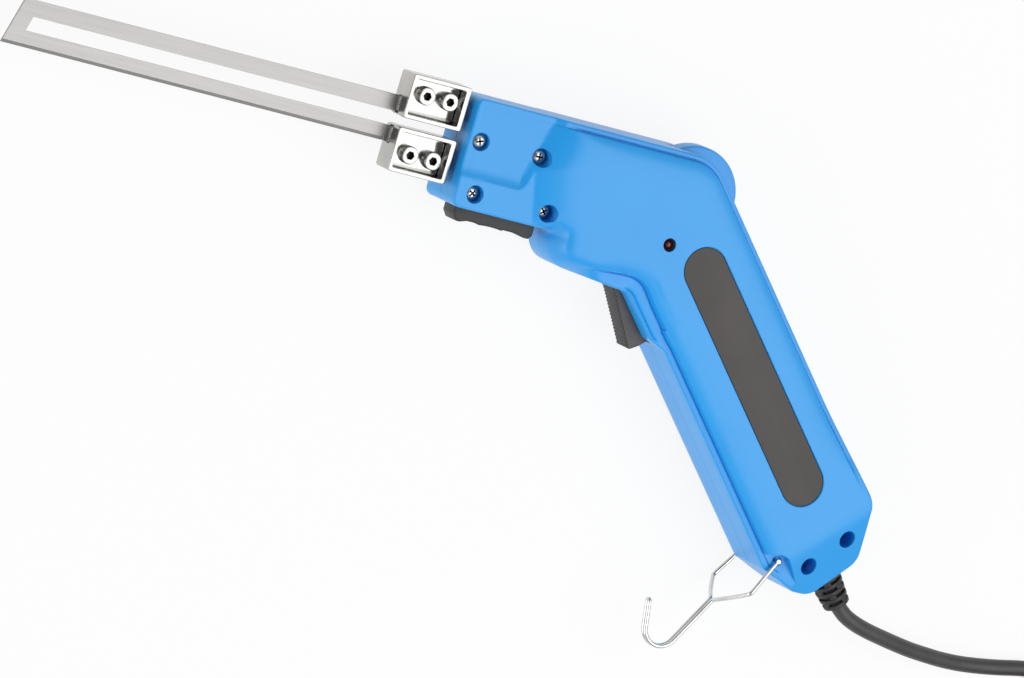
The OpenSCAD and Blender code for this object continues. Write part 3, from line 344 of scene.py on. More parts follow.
def grip_coords(plan: np.ndarray) -> tuple[np.ndarray, np.ndarray]:
    """Gives s along the handle and n square to it for plan points."""
    x, y = plan[..., 0], plan[..., 1]
    return x * GRIP_COS - y * GRIP_SIN, x * GRIP_SIN + y * GRIP_COS


def smooth_step(x: np.ndarray, low: float, high: float) -> np.ndarray:
    """Rises from 0 at low to 1 at high with level ends."""
    t = np.clip((x - low) / (high - low), 0, 1)
    return t * t * (3 - 2 * t)


def quarter(count: int) -> np.ndarray:
    """Evenly spaced angles from zero to a right angle."""
    return np.linspace(0, math.pi / 2, count)


def turned_about(angle: float) -> np.ndarray:
    """Axes turned about Z, one a row."""
    c, k = math.cos(angle), math.sin(angle)
    return np.array([[c, k, 0], [-k, c, 0], [0, 0, 1]])


def soft_min(a: np.ndarray, b: np.ndarray, width: float) -> np.ndarray:
    """The lower of two heights, with the edge where they meet rounded over the width."""
    h = np.maximum(width - np.abs(a - b), 0) / width
    return np.minimum(a, b) - h * h * width / 4


def roll_up(x: np.ndarray, rise: float, run: float, creep: float = 0.1) -> np.ndarray:
    """Climbs on a circle from a slope at 0 to a level top at the run, and then creeps on.

    The circle passes through 0 and is level at the run, where it has climbed the rise.

    Args:
        x: Distance past the line where the round starts.
        rise: Height of its top.
        run: Distance to its top.
        creep: Slope after the top.

    Returns:
        Height at each distance, zero before the line.
    """
    radius = (run * run + rise * rise) / (2 * rise)
    back = np.clip(run - x, 0, run)
    return np.where(x < 0, 0, rise - radius + np.sqrt(radius**2 - back**2)) + creep * np.maximum(x - run, 0)


def grid_quads(rows: int, cols: int, around: bool) -> np.ndarray:
    """Quads of a grid of rows by columns, closed round its columns if asked.

    Args:
        rows: Count of rows.
        cols: Count of columns.
        around: Whether the last column joins the first.

    Returns:
        An array of four point numbers a face.
    """
    i, j = np.meshgrid(np.arange(rows - 1), np.arange(cols if around else cols - 1), indexing="ij")
    k = (j + 1) % cols
    return np.stack([i * cols + j, i * cols + k, (i + 1) * cols + k, (i + 1) * cols + j], -1).reshape(-1, 4)


def welded(points: np.ndarray, quads: np.ndarray) -> Surface:
    """Joins points that coincide and drops the faces or sides that this collapses.

    Args:
        points: Points as rows.
        quads: Four point numbers a face.

    Returns:
        The kept points and the faces.
    """
    kept, index = np.unique(np.round(points, 5), axis=0, return_inverse=True)
    q = index.reshape(-1)[quads]
    same = q == np.roll(q, -1, axis=1)
    count = same.sum(axis=1)
    three = q[count == 1][~same[count == 1]].reshape(-1, 3)
    return kept, q[count == 0].tolist() + three.tolist()


def joined(*surfaces: Surface) -> Surface:
    """Puts several surfaces into one, with the points of each numbered after those before it.

    Args:
        *surfaces: Points and faces of each.

    Returns:
        All points and all faces.
    """
    points: list[np.ndarray] = []
    faces: list[list[int]] = []
    base = 0
    for p, f in surfaces:
        points.append(p)
        faces += [[k + base for k in face] for face in f]
        base += len(p)
    return np.vstack(points), faces


def rounded(corners: np.ndarray, inset: float, steps: int, runs: np.ndarray | None = None) -> np.ndarray:
    """Outline of clockwise corners with arcs, drawn in by an inset.

    Each arc keeps its centre, so a convex radius shrinks by the inset and a concave one grows.

    Args:
        corners: Rows of x, y and corner radius.
        inset: Distance drawn in.
        steps: Pieces in each arc.
        runs: Pieces in the straight after each corner, one each if left out.

    Returns:
        Plan points of the closed outline.
    """
    here = corners[:, :2]
    before, after = here - np.roll(here, 1, 0), np.roll(here, -1, 0) - here
    a = before / np.linalg.norm(before, axis=1, keepdims=True)
    b = after / np.linalg.norm(after, axis=1, keepdims=True)
    right = lambda d: np.stack([d[:, 1], -d[:, 0]], -1)
    turn = np.arctan2(a[:, 0] * b[:, 1] - a[:, 1] * b[:, 0], (a * b).sum(1))
    side = np.where(turn < 0, 1.0, -1.0)
    na, nb = right(a), right(b)
    moved = here + (na + nb) * (inset / (1 + (na * nb).sum(1)))[:, None]
    r = np.maximum(corners[:, 2] - side * inset, SHARP)
    start = moved - a * (r * np.tan(np.abs(turn) / 2))[:, None]
    centre = start + na * (side * r)[:, None]
    angle = turn[:, None] * np.linspace(0, 1, steps + 1)[None, :]
    v = (start - centre)[:, None, :]
    c, k = np.cos(angle), np.sin(angle)
    arcs = centre[:, None, :] + np.stack([v[..., 0] * c - v[..., 1] * k, v[..., 0] * k + v[..., 1] * c], -1)
    if runs is None:
        return arcs.reshape(-1, 2)
    parts = []
    for i, count in enumerate(runs):
        gap = arcs[(i + 1) % len(arcs), 0] - arcs[i, -1]
        t = np.arange(1, count)[:, None] / count
        parts += [arcs[i], arcs[i, -1] + gap * t]
    return np.vstack(parts)


def box_corners(w: float, h: float, r: float, at: tuple[float, float] = (0.0, 0.0)) -> np.ndarray:
    """Clockwise corners of a rectangle about a point, with one radius."""
    x, y = w / 2, h / 2
    return np.array([[at[0] - x, at[1] + y, r], [at[0] + x, at[1] + y, r],
                     [at[0] + x, at[1] - y, r], [at[0] - x, at[1] - y, r]])


def loft(corners: np.ndarray, rings: list[tuple[float, float]], steps: int = 6) -> Surface:
    """Closed solid through rings of one outline, each drawn in by its inset at its height.

    Args:
        corners: Rows of x, y and radius, clockwise.
        rings: Inset and height of each ring, from the bottom up.
        steps: Pieces in each corner arc.

    Returns:
        The surface with flat end faces.
    """
    levels = [rounded(corners, inset, steps) for inset, _ in rings]
    n = len(levels[0])
    points = np.vstack([np.column_stack([p, np.full(n, z)]) for p, (_, z) in zip(levels, rings)])
    quads = grid_quads(len(rings), n, True)[:, ::-1]
    floor = list(range(n))
    roof = list(range(len(rings) * n - 1, (len(rings) - 1) * n - 1, -1))
    return points, quads.tolist() + [floor, roof]


def slab(corners: np.ndarray, low: float, high: float, edge: float = 0.0, steps: int = 6) -> Surface:
    """Plate between two heights whose rim edges are rounded by a quarter circle.

    Args:
        corners: Rows of x, y and radius, clockwise.
        low: Height of its foot.
        high: Height of its top.
        edge: Radius of the rim's rounds, zero for sharp rims.
        steps: Pieces in each corner arc.

    Returns:
        The closed surface.
    """
    if edge <= 0:
        return loft(corners, [(0, low), (0, high)], steps)
    foot = [(edge * (1 - math.sin(a)), low + edge * (1 - math.cos(a))) for a in quarter(4)]
    top = [(edge * (1 - math.cos(a)), high - edge * (1 - math.sin(a))) for a in quarter(4)]
    return loft(corners, foot + top, steps)


def lathe(profile: list[tuple[float, float]], steps: int = 40) -> Surface:
    """Turned solid about Z: radius and height pairs from the axis at the bottom to the axis at the top.

    Each radius goes round the axis by the cosine and sine of evenly spaced angles.

    Args:
        profile: Radius and height pairs.
        steps: Pieces round the axis.

    Returns:
        The closed surface.
    """
    rz = np.array(profile, float)
    a = np.linspace(0, 2 * math.pi, steps, endpoint=False)
    ring = np.stack([np.cos(a), np.sin(a)], -1)
    points = np.concatenate([rz[:, None, :1] * ring[None], np.repeat(rz[:, None, 1:], steps, 1)], -1)
    return welded(points.reshape(-1, 3), grid_quads(len(rz), steps, True))


def tube(path: np.ndarray, radius: float, sides: int) -> Surface:
    """Round tube with flat ends along a path, its sections carried along without twisting.

    A point of a section is the centre plus the radius times its angle's cosine along one side of the
    path and its sine along the other. Each side is the one before it, made square to the path again.

    Args:
        path: Points of the centre line.
        radius: Radius of the tube.
        sides: Pieces round the section.

    Returns:
        The tube's surface.
    """
    d = np.gradient(path, axis=0)
    d /= np.linalg.norm(d, axis=1, keepdims=True)
    side = np.zeros_like(path)
    first = np.cross(d[0], ASKEW)
    side[0] = first / np.linalg.norm(first)
    for i in range(1, len(path)):
        s = side[i - 1] - d[i] * (side[i - 1] @ d[i])
        side[i] = s / np.linalg.norm(s)
    up = np.cross(d, side)
    a = np.linspace(0, 2 * math.pi, sides, endpoint=False)
    c, k = np.cos(a)[None, :, None], np.sin(a)[None, :, None]
    points = path[:, None] + radius * (c * side[:, None] + k * up[:, None])
    n = len(path) * sides
    ends = [list(range(sides))[::-1], list(range(n - sides, n))]
    return points.reshape(-1, 3), grid_quads(len(path), sides, True).tolist() + ends


def smoothed(points: np.ndarray, step: float) -> np.ndarray:
    """Smooth curve through the points, in steps of about the given length.

    Each stretch is a cubic, and its slope at a point is half the way from the point before to the next.

    Args:
        points: Points that the curve passes through.
        step: Length of a step.

    Returns:
        The curve's points.
    """
    p = np.vstack([2 * points[0] - points[1], points, 2 * points[-1] - points[-2]])
    parts = []
    for i in range(1, len(p) - 2):
        count = max(2, int(np.linalg.norm(p[i + 1] - p[i]) / step))
        t = np.linspace(0, 1, count, endpoint=False)[:, None]
        parts.append(0.5 * (2 * p[i] + (p[i + 1] - p[i - 1]) * t
                            + (2 * p[i - 1] - 5 * p[i] + 4 * p[i + 1] - p[i + 2]) * t**2
                            + (3 * p[i] - p[i - 1] - 3 * p[i + 1] + p[i + 2]) * t**3))
    return np.vstack(parts + [points[-1:]])


def placed(surface: Surface, at: tuple[float, ...] = (0, 0, 0), axes: np.ndarray | None = None) -> Surface:
    """Moves a surface to a point, its own axes first turned to the rows of a matrix.

    Args:
        surface: Points and faces.
        at: Where its origin goes.
        axes: Directions of its own axes, one a row; left out where it isn't turned.

    Returns:
        The moved surface.
    """
    points, faces = surface
    turned = points if axes is None else points @ np.asarray(axes, float)
    return turned + np.asarray(at, float), faces


def in_grip(surface: Surface) -> Surface:
    """Takes a surface drawn in handle coordinates (s, n, height) to plan coordinates."""
    return grip_places(surface[0]), surface[1]


def mesh_object(name: str, surface: Surface) -> bpy.types.Object:
    """Makes a mesh object whose place is in its mesh.

    Args:
        name: Name of the object.
        surface: Points in millimetres about the parting plane's height, and faces.

    Returns:
        The linked object.
    """
    points, faces = surface
    mesh = bpy.data.meshes.new(name)
    mesh.from_pydata((points + [0, 0, MID]) * MM, [], faces)
    made = bpy.data.objects.new(name, mesh)
    bpy.context.scene.collection.objects.link(made)
    return made


def carve(target: bpy.types.Object, cutters: list[Surface], operation: str = "DIFFERENCE") -> None:
    """Cuts or joins closed surfaces into an object's mesh.

    Args:
        target: Object that is changed.
        cutters: Closed surfaces.
        operation: DIFFERENCE, UNION or INTERSECT.
    """
    tools = [mesh_object("tool", cutter) for cutter in cutters]
    for tool in tools:
        step = target.modifiers.new("cut", "BOOLEAN")
        step.solver = "MANIFOLD"
        step.operation = operation
        step.object = tool
    graph = bpy.context.evaluated_depsgraph_get()
    made = bpy.data.meshes.new_from_object(target.evaluated_get(graph))
    target.modifiers.clear()
    target.data = made
    for tool in tools:
        bpy.data.objects.remove(tool)


def dress(piece: bpy.types.Object, finish: Finish, slot: str, body: Body, *nodes: str) -> bpy.types.Object:
    """Finishes a piece: shading, material, body and the model's nodes that it stands for.

    Args:
        piece: The object.
        finish: Its finish.
        slot: Material slot of the record; not used.
        body: Body that it rides on.
        *nodes: Nodes that it stands for.

    Returns:
        The same object.
    """
    mesh = piece.data
    mesh.shade_smooth()
    mesh.set_sharp_from_angle(angle=SPLIT_ANGLE)
    mesh.materials.clear()
    mesh.materials.append(finish.material())
    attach(piece, body.value)
    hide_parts(*nodes)
    LOG.info("%s: %d faces", piece.name, len(mesh.polygons))
    return piece


def face_middles(piece: bpy.types.Object) -> np.ndarray:
    """Middles of a piece's faces.

    Args:
        piece: The object.

    Returns:
        One row a face, in millimetres about the parting plane.
    """
    flat = np.empty(len(piece.data.polygons) * 3, np.float32)
    piece.data.polygons.foreach_get("center", flat)
    return flat.reshape(-1, 3) / MM - [0, 0, MID]


def second_finish(piece: bpy.types.Object, finish: Finish, faces: np.ndarray) -> None:
    """Gives some of a piece's faces a second finish.

    Args:
        piece: The dressed piece.
        finish: The second finish.
        faces: True for each face that takes it.
    """
    piece.data.materials.append(finish.material())
    piece.data.polygons.foreach_set("material_index", faces.astype(np.int32))


def rod(a: tuple[float, float, float], b: tuple[float, float, float], r: float, sides: int = 40) -> Surface:
    """Plain round bar between two points."""
    return tube(np.array([a, b], float), r, sides)


def surface_of(made: bpy.types.Object) -> Surface:
    """Takes an object's mesh back as a surface and removes the object.

    Args:
        made: The object.

    Returns:
        Points in millimetres about the parting plane, and faces.
    """
    mesh = made.data
    flat = np.empty(len(mesh.vertices) * 3, np.float32)
    mesh.vertices.foreach_get("co", flat)
    points = flat.reshape(-1, 3).astype(float) / MM - [0, 0, MID]
    faces = [list(face.vertices) for face in mesh.polygons]
    bpy.data.objects.remove(made)
    return points, faces


def mirrored(surface: Surface, axis: int) -> Surface:
    """Mirrors a surface along one axis, keeping its faces outward."""
    signs = np.where(np.arange(3) == axis, -1, 1)
    return surface[0] * signs, [face[::-1] for face in surface[1]]


@dataclass
class Casing:
    """Two moulded halves: a flat sided barrel with a recessed nose, a belly and a slanted handle.

    Heights are from the parting plane. The edge of each half rises as a wall, rolls over a small
    round to a ledge, dips in a crease and steps up to a softly crowned panel. The ledge is wide
    below and in front, thin along the top and the rear, and widest on the lip beside the trigger,
    where a second crease sets off a bead. Towards the handle's end the ledge closes.
    """

    # Heights and the wall
    half: float = MID
    wall: float = 2.4
    roof_wall: float = 1.6
    rim: float = 14.0
    roll: float = 0.8
    parting: float = 0.15
    base: float = 1.0
    wall_row: float = 4.0
    wall_top: float = 5.0
    hollow_gap: float = 0.1
    hollow_rings: int = 12
    skim: float = 0.05
    # Outline, in plan and square to the handle
    barrel_top: float = 16.5
    nose_reach: float = 82.0
    belly_front: float = 37.5
    belly_drop: float = 37.25
    belly_slope: float = math.tan(math.radians(5.5))
    grip_back: float = 24.5
    grip_front: float = 25.25
    lip_front: float = 28.5
    lip_sag: float = 0.47
    handle: float = 175.5
    # Ledge, bead, crease and riser, with the lengths over which they fade
    ledge_front: float = 2.6
    ledge_belly: float = 3.0
    ledge_back: float = 2.2
    ledge_shares: tuple[float, ...] = (0.2, 0.33, 0.45, 0.6, 0.9)
    lip_fade: float = 26.0
    bead: float = 1.4
    bead_depth: float = 0.55
    bead_half: float = 0.28
    bead_fade: float = 4.0
    crease_depth: float = 0.45
    crease_half: float = 0.2
    crease_fades: tuple[float, float] = (12.0, 30.0)
    crease_nose: tuple[float, float] = (-43.0, -39.0)
    riser: float = 3.0
    riser_foot: float = 0.15
    riser_run: float = 0.7
    close_before: float = 45.0
    close_after: float = 3.0
    close_toe: float = 12.0
    # Crowned panel, and the bow round the belly's front
    panel_in: float = 10.0
    crown_fall: float = 3.2
    crown_shares: tuple[float, ...] = (0.08, 0.2, 0.36, 0.57, 0.78, 1.0)
    bow_in: float = 10.0
    bow_foot: float = 9.0
    belly_round: float = 7.9
    belly_fade: float = 10.0
    step_fades: tuple[float, float] = (24.0, 22.0)
    # Recessed nose and sloping end; rounds are least and most width, and the heights between
    pad: float = 13.5
    pad_line: tuple[float, float] = (-49.6, -18.0)
    pad_slant: float = math.radians(-13.8)
    pad_run: float = 25.0
    upper: float = 12.0
    upper_line: tuple[float, float] = (-53.2, 3.0)
    upper_slant: float = math.radians(16.0)
    upper_run: float = 23.0
    foot_top: float = -8.4
    foot_end: float = -13.5
    roll_over: float = 0.2
    panel_edge: float = 0.12
    nose_round: tuple[float, float, float, float] = (0.4, 1.8, 15.0, 18.5)
    facet_start: float = 154.5
    facet_slope: float = 8.75 / 21.0
    end_round: tuple[float, float, float, float] = (0.3, 1.5, 14.5, 18.0)
    # Columns of the skin and the spine that they close on
    column_mm: float = 0.8
    fine_in: float = 3.0
    fine_mm: float = 0.25
    arc_steps: int = 8
    fill_rings: int = 32
    spine_mm: float = 2.0
    spine_head: tuple[float, float] = (-68.0, -4.0)
    spine_turn: tuple[float, float] = (-1.0, -4.0)
    spine_tail: float = 150.0
    # Screws and bosses
    barrel_screws: tuple[tuple[float, float], ...] = ((-77, 0.5), (-74, -19.05), (-51.5, 0.5), (-43.5, -19.05))
    barrel_seat: float = 8.6
    end_screws: tuple[tuple[float, float], ...] = ((161, 9.3), (162.6, -9))
    end_seat: float = 3.5
    counterbore_r: float = 3.5
    pilot_r: float = 1.75
    boss_r: float = 4.4
    boss_foot: float = -3.0
    boss_corner: float = 0.5
    hinge_boss_r: float = 6.0
    toe_block: float = 30.0
    toe_block_at: tuple[float, float] = (159.5, -28.7)
    # Openings; holes are radius and foot, and the wedge is about the hinge
    slot_corner: float = 0.3
    trigger_slot: tuple[float, float] = (31.2, 29.2)
    trigger_slot_at: tuple[float, float] = (39.0, -33.4)
    trigger_slot_half: float = 5.6
    dial_slot_r: float = 20.0
    dial_slot_half: float = 4.6
    notch: tuple[float, float] = (9.0, 11.4)
    notch_y: float = 8.0
    notch_half: float = 1.7
    stem_slot_depth: float = 9.6
    lead_bore_r: float = 5.1
    lead_bore: tuple[float, float] = (166.0, 185.0)
    pin_hole: tuple[float, float] = (0.9, 7.9)
    pin_sink: tuple[float, float] = (2.0, 12.5)
    pin_hole_top: float = 20.0
    toe_wedge: tuple[tuple[float, float, float], ...] = (
        (-16, -8.8, 0.5), (-5.5, -3.3, 0.5), (-3, 1.5, 0.5), (0, 3.6, 1),
        (14.5, 3, 1), (30.5, -16, 0.5), (-16, -16, 0.5))
    lamp_hole: tuple[float, float] = (2.65, 5.0)
    label_play: float = 0.4
    label_floor: float = 18.0
    label_chamfer: float = 0.35
    label_over: float = 0.1
    # Set out from the rest: corners, columns by inset, length along the edge, marks on it and spine nodes
    corners: np.ndarray = field(init=False)
    runs: np.ndarray = field(init=False)
    insets: np.ndarray = field(init=False)
    drawn_in: np.ndarray = field(init=False)
    edge: np.ndarray = field(init=False)
    along: np.ndarray = field(init=False)
    marks: dict[EdgeMark, float] = field(init=False)
    spine: np.ndarray = field(init=False)

    def __post_init__(self) -> None:
        """Sets out the clockwise corners with their radii, the columns of the skin and its spine."""
        rear = grip_point((self.grip_back * GRIP_COS - self.barrel_top) / GRIP_SIN, self.grip_back)
        low = self.belly_drop - self.belly_slope * -self.belly_front
        crotch_x = (-self.lip_front + GRIP_COS * low) / (GRIP_SIN - GRIP_COS * self.belly_slope)
        crotch = (crotch_x, -low - self.belly_slope * crotch_x)
        # Along the handle, square to it, and the corner's radius
        end = [(self.handle - 23.5, self.grip_back, 12), (self.handle - 2.2, 11.1, 8), (self.handle, -12, 9),
               (self.handle - 6.1, -18.2, 4), (self.handle - 20.5, -self.grip_front, 4),
               (57, -self.grip_front, 5), (50, -self.lip_front, 5)]
        rows = [(-self.nose_reach, self.barrel_top, 2), (*rear, 20)]
        rows += [(*grip_point(s, n), r) for s, n, r in end]
        rows += [(*crotch, 6), (-self.belly_front, -self.belly_drop, 10), (-self.belly_front, -NOSE_DROP, 1.5),
                 (-self.nose_reach, -NOSE_DROP, 3)]
        self.corners = np.array(rows, float)
        plain = rounded(self.corners, 0, self.arc_steps).reshape(len(rows), -1, 2)
        gaps = np.linalg.norm(np.roll(plain[:, 0], -1, 0) - plain[:, -1], axis=1)
        self.runs = np.maximum(1, np.round(gaps / self.column_mm)).astype(int)
        fine, coarse = np.arange(0, self.fine_in, self.fine_mm), np.arange(self.fine_in, self.panel_in + 1)
        self.insets = np.concatenate([fine, coarse])
        self.drawn_in = np.array([rounded(self.corners, d, self.arc_steps, self.runs) for d in self.insets])
        self.edge = self.drawn_in[0]
        step = np.linalg.norm(self.edge - np.roll(self.edge, 1, 0), axis=1)
        step[0] = 0
        self.along = np.cumsum(step)
        first = np.concatenate([[0], np.cumsum(self.runs + self.arc_steps)[:-1]])
        self.marks = dict(zip(EdgeMark, self.along[first + self.arc_steps // 2]))
        self._lay_spine()

    def _lay_spine(self) -> None:
        """Sets the spine that the panel closes on, and the spine node of every column."""
        head, turn, tail = np.array(self.spine_head), np.array(self.spine_turn), grip_point(self.spine_tail, 0)
        bend = np.linalg.norm(turn - head)
        whole = bend + np.linalg.norm(tail - turn)
        # Mark, shift along the edge, and place along the spine
        keys = [(EdgeMark.NOSE_TOP, 0, 0), (EdgeMark.REAR, 0, bend), (EdgeMark.HEEL, 0, whole),
                (EdgeMark.TOE_START, 0, whole), (EdgeMark.LIP_FOOT, 0, bend + 55), (EdgeMark.CROTCH, 0, bend),
                (EdgeMark.BELLY, 0, bend - 21), (EdgeMark.SCALLOP, -1.7, bend - 26),
                (EdgeMark.SCALLOP, 0.6, bend - 33), (EdgeMark.NOSE_FOOT, 0, 0)]
        stops = [self.marks[mark] + shift for mark, shift, _ in keys]
        places = np.interp(self.along, stops, [at for *_, at in keys])
        node = np.round(places / self.spine_mm) * self.spine_mm
        ends = [0, bend, whole]
        self.spine = np.stack([np.interp(node, ends, [head[i], turn[i], tail[i]]) for i in (0, 1)], -1)

    def inset(self, depth: np.ndarray) -> np.ndarray:
        """Plan points of the columns, each drawn in by its own depth.

        Args:
            depth: Inset of every column.

        Returns:
            One plan point a column.
        """
        place = np.interp(depth, self.insets, np.arange(len(self.insets)))
        low = np.minimum(place.astype(int), len(self.insets) - 2)
        share = (place - low)[:, None]
        column = np.arange(len(self.edge))
        return self.drawn_in[low, column] * (1 - share) + self.drawn_in[low + 1, column] * share

    def between(self, first: EdgeMark, last: EdgeMark, fade: float) -> np.ndarray:
        """Share of every column that is 1 between two marks of the outline and fades out past them."""
        a, b = self.marks[first], self.marks[last]
        return smooth_step(self.along, a - fade, a) * (1 - smooth_step(self.along, b, b + fade))

    def lip(self) -> np.ndarray:
        """Extra ledge where the lip beside the trigger stands out from the handle's front.

        Returns:
            Extra width of every column.
        """
        _, n = grip_coords(self.edge)
        out = np.clip(-self.grip_front - n, 0, self.lip_front - self.grip_front)
        return out * self.between(EdgeMark.LIP_FOOT, EdgeMark.CROTCH, self.lip_fade)

    def ceiling(self, plan: np.ndarray) -> tuple[np.ndarray, np.ndarray]:
        """Heights that the recessed nose and the sloping end leave over plan points.

        The nose has a pad that rolls up to the bulge, and over it a deeper panel that rolls up along
        a slanted line and curves up to a crisp edge at the pad. The end is one slanted plane.

        Args:
            plan: Plan points.

        Returns:
            The limit of the nose and the limit of the end, each far over the panel elsewhere.
        """
        x, y = plan[..., 0], plan[..., 1]
        past = lambda line, slant: (x - line[0]) * math.cos(slant) - (y - line[1]) * math.sin(slant)
        brow = self.half + self.roll_over
        pad = self.pad + roll_up(past(self.pad_line, self.pad_slant), brow - self.pad, self.pad_run)
        roll = roll_up(past(self.upper_line, self.upper_slant), brow - self.upper, self.upper_run)
        foot = np.maximum(self.foot_top - y, 0) / (self.foot_top - self.foot_end)
        upper = self.upper + np.hypot(roll, (self.pad - self.upper) * foot**2)
        s, _ = grip_coords(plan)
        return soft_min(pad, upper, self.panel_edge), self.half - self.facet_slope * (s - self.facet_start)

    def _ledge(self) -> np.ndarray:
        """Width of the ledge: the front's, blended to the belly's and the back's, with the lip added.

        Returns:
            Width of every column.
        """
        back = 1 - smooth_step(self.along, self.marks[EdgeMark.HEEL], self.marks[EdgeMark.END_BACK])
        below = self.between(EdgeMark.CROTCH, EdgeMark.NOSE_FOOT, self.belly_fade)
        return (self.ledge_front + (self.ledge_belly - self.ledge_front) * below
                + (self.ledge_back - self.ledge_front) * back + self.lip())

    def _closing(self) -> np.ndarray:
        """How far the ledge is closed: it closes about the heel and opens again past the toe.

        Returns:
            Share of every column, 1 round the handle's end.
        """
        heel, toe = self.marks[EdgeMark.HEEL], self.marks[EdgeMark.TOE]
        closing = smooth_step(self.along, heel - self.close_before, heel + self.close_after)
        return closing * (1 - smooth_step(self.along, toe, toe + self.close_toe))

    def _section(self) -> tuple[list[tuple[np.ndarray, np.ndarray]], np.ndarray]:
        """Edge section of every column: wall, round, ledge with its bead, crease, riser and crown.

        The bead is set off by a narrow bell curve, cut into the ledge, and the crown nears the full
        height by an exponential fall.

        Returns:
            Inset and height of each level, and the share of the section that stays beside the belly's round front.
        """
        ledge, lip, closing = self._ledge(), self.lip(), self._closing()
        from_belly = self.along - self.marks[EdgeMark.BELLY]
        before = from_belly < 0
        step = smooth_step(np.abs(from_belly), self.belly_round, np.where(before, *self.step_fades))
        crease = self.crease_depth * np.where(before, smooth_step(-from_belly, *self.crease_fades), step)
        crease *= smooth_step(self.edge[:, 0], *self.crease_nose) * (1 - closing)
        bead = self.bead_depth * self.between(EdgeMark.LIP_END, EdgeMark.CROTCH, self.bead_fade)
        flat = np.zeros_like(closing)
        top = np.minimum(self.ceiling(self.edge)[0], self.ceiling(self.inset(flat + self.roll))[1])
        rim = np.minimum(self.rim + (self.half - self.rim) * closing, top)
        deck = rim + (self.half - rim) * smooth_step(closing, 0.5, 1)
        levels = [(flat + self.parting, flat), (flat, flat + self.parting),
                  (flat, rim - self.roll - self.wall_row), (flat, rim - self.roll)]
        levels += [(flat + self.roll * (1 - math.cos(a)), rim - self.roll * (1 - math.sin(a)))
                   for a in quarter(5)[1:]]
        room = np.minimum(ledge, self.ledge_front) - 2 * self.crease_half - self.roll
        for share in self.ledge_shares:
            depth = self.roll + room * share
            levels.append((depth, deck - bead * np.exp(-(((depth - self.bead) / self.bead_half) ** 2))))
        lift = np.minimum(self.riser * (1 - closing), self.half - deck)
        levels += [(ledge - 2 * self.crease_half, deck), (ledge - self.crease_half, deck - crease),
                   (ledge, deck - crease), (ledge + self.riser_foot, deck), (ledge + self.riser_run, deck + lift)]
        widest = self.lip_front - self.grip_front
        foot = ledge - lip + widest * np.minimum(1, lip / (widest - self.lip_sag)) + self.riser_run
        for share in self.crown_shares:
            depth = ledge + self.riser_run + (self.panel_in - ledge - self.riser_run) * share
            fall = np.exp(-(depth - foot) / self.crown_fall)
            levels.append((depth, self.half - (self.half - deck - lift) * fall))
        return levels, step

    def skin(self) -> Surface:
        """Closed outer form of one half over the parting plane.

        Every column of the outline runs up the edge section and then in straight steps to its
        spine node. By the belly's front the section gives way to a round bow. The nose and the
        end limit the heights.

        Returns:
            The surface, with its flat foot on the parting plane.
        """
        levels, step = self._section()
        rings = []
        for depth, z in levels:
            bow = self.half - (self.half - self.bow_foot) * (1 - np.minimum(depth / self.bow_in, 1)) ** 3
            rings.append((self.inset(depth), np.where(z < self.base, z, step * z + (1 - step) * bow)))
        inner, left = rings[-1][0], step * (self.half - levels[-1][1])
        for t in np.linspace(0, 1, self.fill_rings + 1)[1:]:
            plan = inner + (self.spine - inner) * t
            far = np.linalg.norm(plan - inner, axis=1)
            rings.append((plan, self.half - left * np.exp(-far / self.crown_fall) * (1 - t)))
        points = []
        for plan, z in rings:
            nose, end = self.ceiling(plan)
            limited = soft_min(z, nose, self._width(z, *self.nose_round))
            limited = soft_min(limited, end, self._width(z, *self.end_round))
            points.append(np.column_stack([plan, np.where(z > self.wall_top, limited, z)]))
        return self._closed(points)

    def _width(self, z: np.ndarray, least: float, most: float, low: float, high: float) -> np.ndarray:
        """Width of a round that grows from the least to the most between two heights."""
        return least + (most - least) * smooth_step(z, low, high)

    def _closed(self, rings: list[np.ndarray]) -> Surface:
        """Joins rings of the columns into a closed surface with a flat foot on the first ring.

        Args:
            rings: Points of each ring, one a column.

        Returns:
            The welded surface.
        """
        n = len(self.edge)
        flat = np.vstack(rings)
        kept, faces = welded(flat, grid_quads(len(rings), n, True)[:, ::-1])
        order = {tuple(p): i for i, p in enumerate(np.round(kept, 5).tolist())}
        faces.append([order[tuple(p)] for p in np.round(flat[:n], 5).tolist()])
        return kept, faces

    def hollow(self) -> Surface:
        """Space inside one half: the outline drawn in by the wall, under a roof that keeps below the skin.

        It runs just through the parting plane.

        Returns:
            The closed surface.
        """
        roof = self.half - self.wall
        flat, low = np.zeros(len(self.edge)), self.rim - self.wall
        rings = [(self.inset(flat + d), z) for d, z in (
            (self.wall, -PAST), (self.wall, low), (self.wall + self.lip() + self.hollow_gap, low),
            (self.panel_in, roof))]
        inner = rings[-1][0]
        rings += [(inner + (self.spine - inner) * t, roof) for t in np.linspace(0, 1, self.hollow_rings + 1)[1:]]
        under = lambda plan, z: np.minimum(z, np.minimum(*self.ceiling(plan)) - self.roof_wall)
        return self._closed([np.column_stack([plan, under(plan, z)]) for plan, z in rings])

    def screw_places(self) -> list[tuple[float, float, float]]:
        """Plan place of each casing screw and the height of its head's seat."""
        ends = [(*grip_point(s, n), self.end_seat) for s, n in self.end_screws]
        return [(x, y, self.barrel_seat) for x, y in self.barrel_screws] + ends

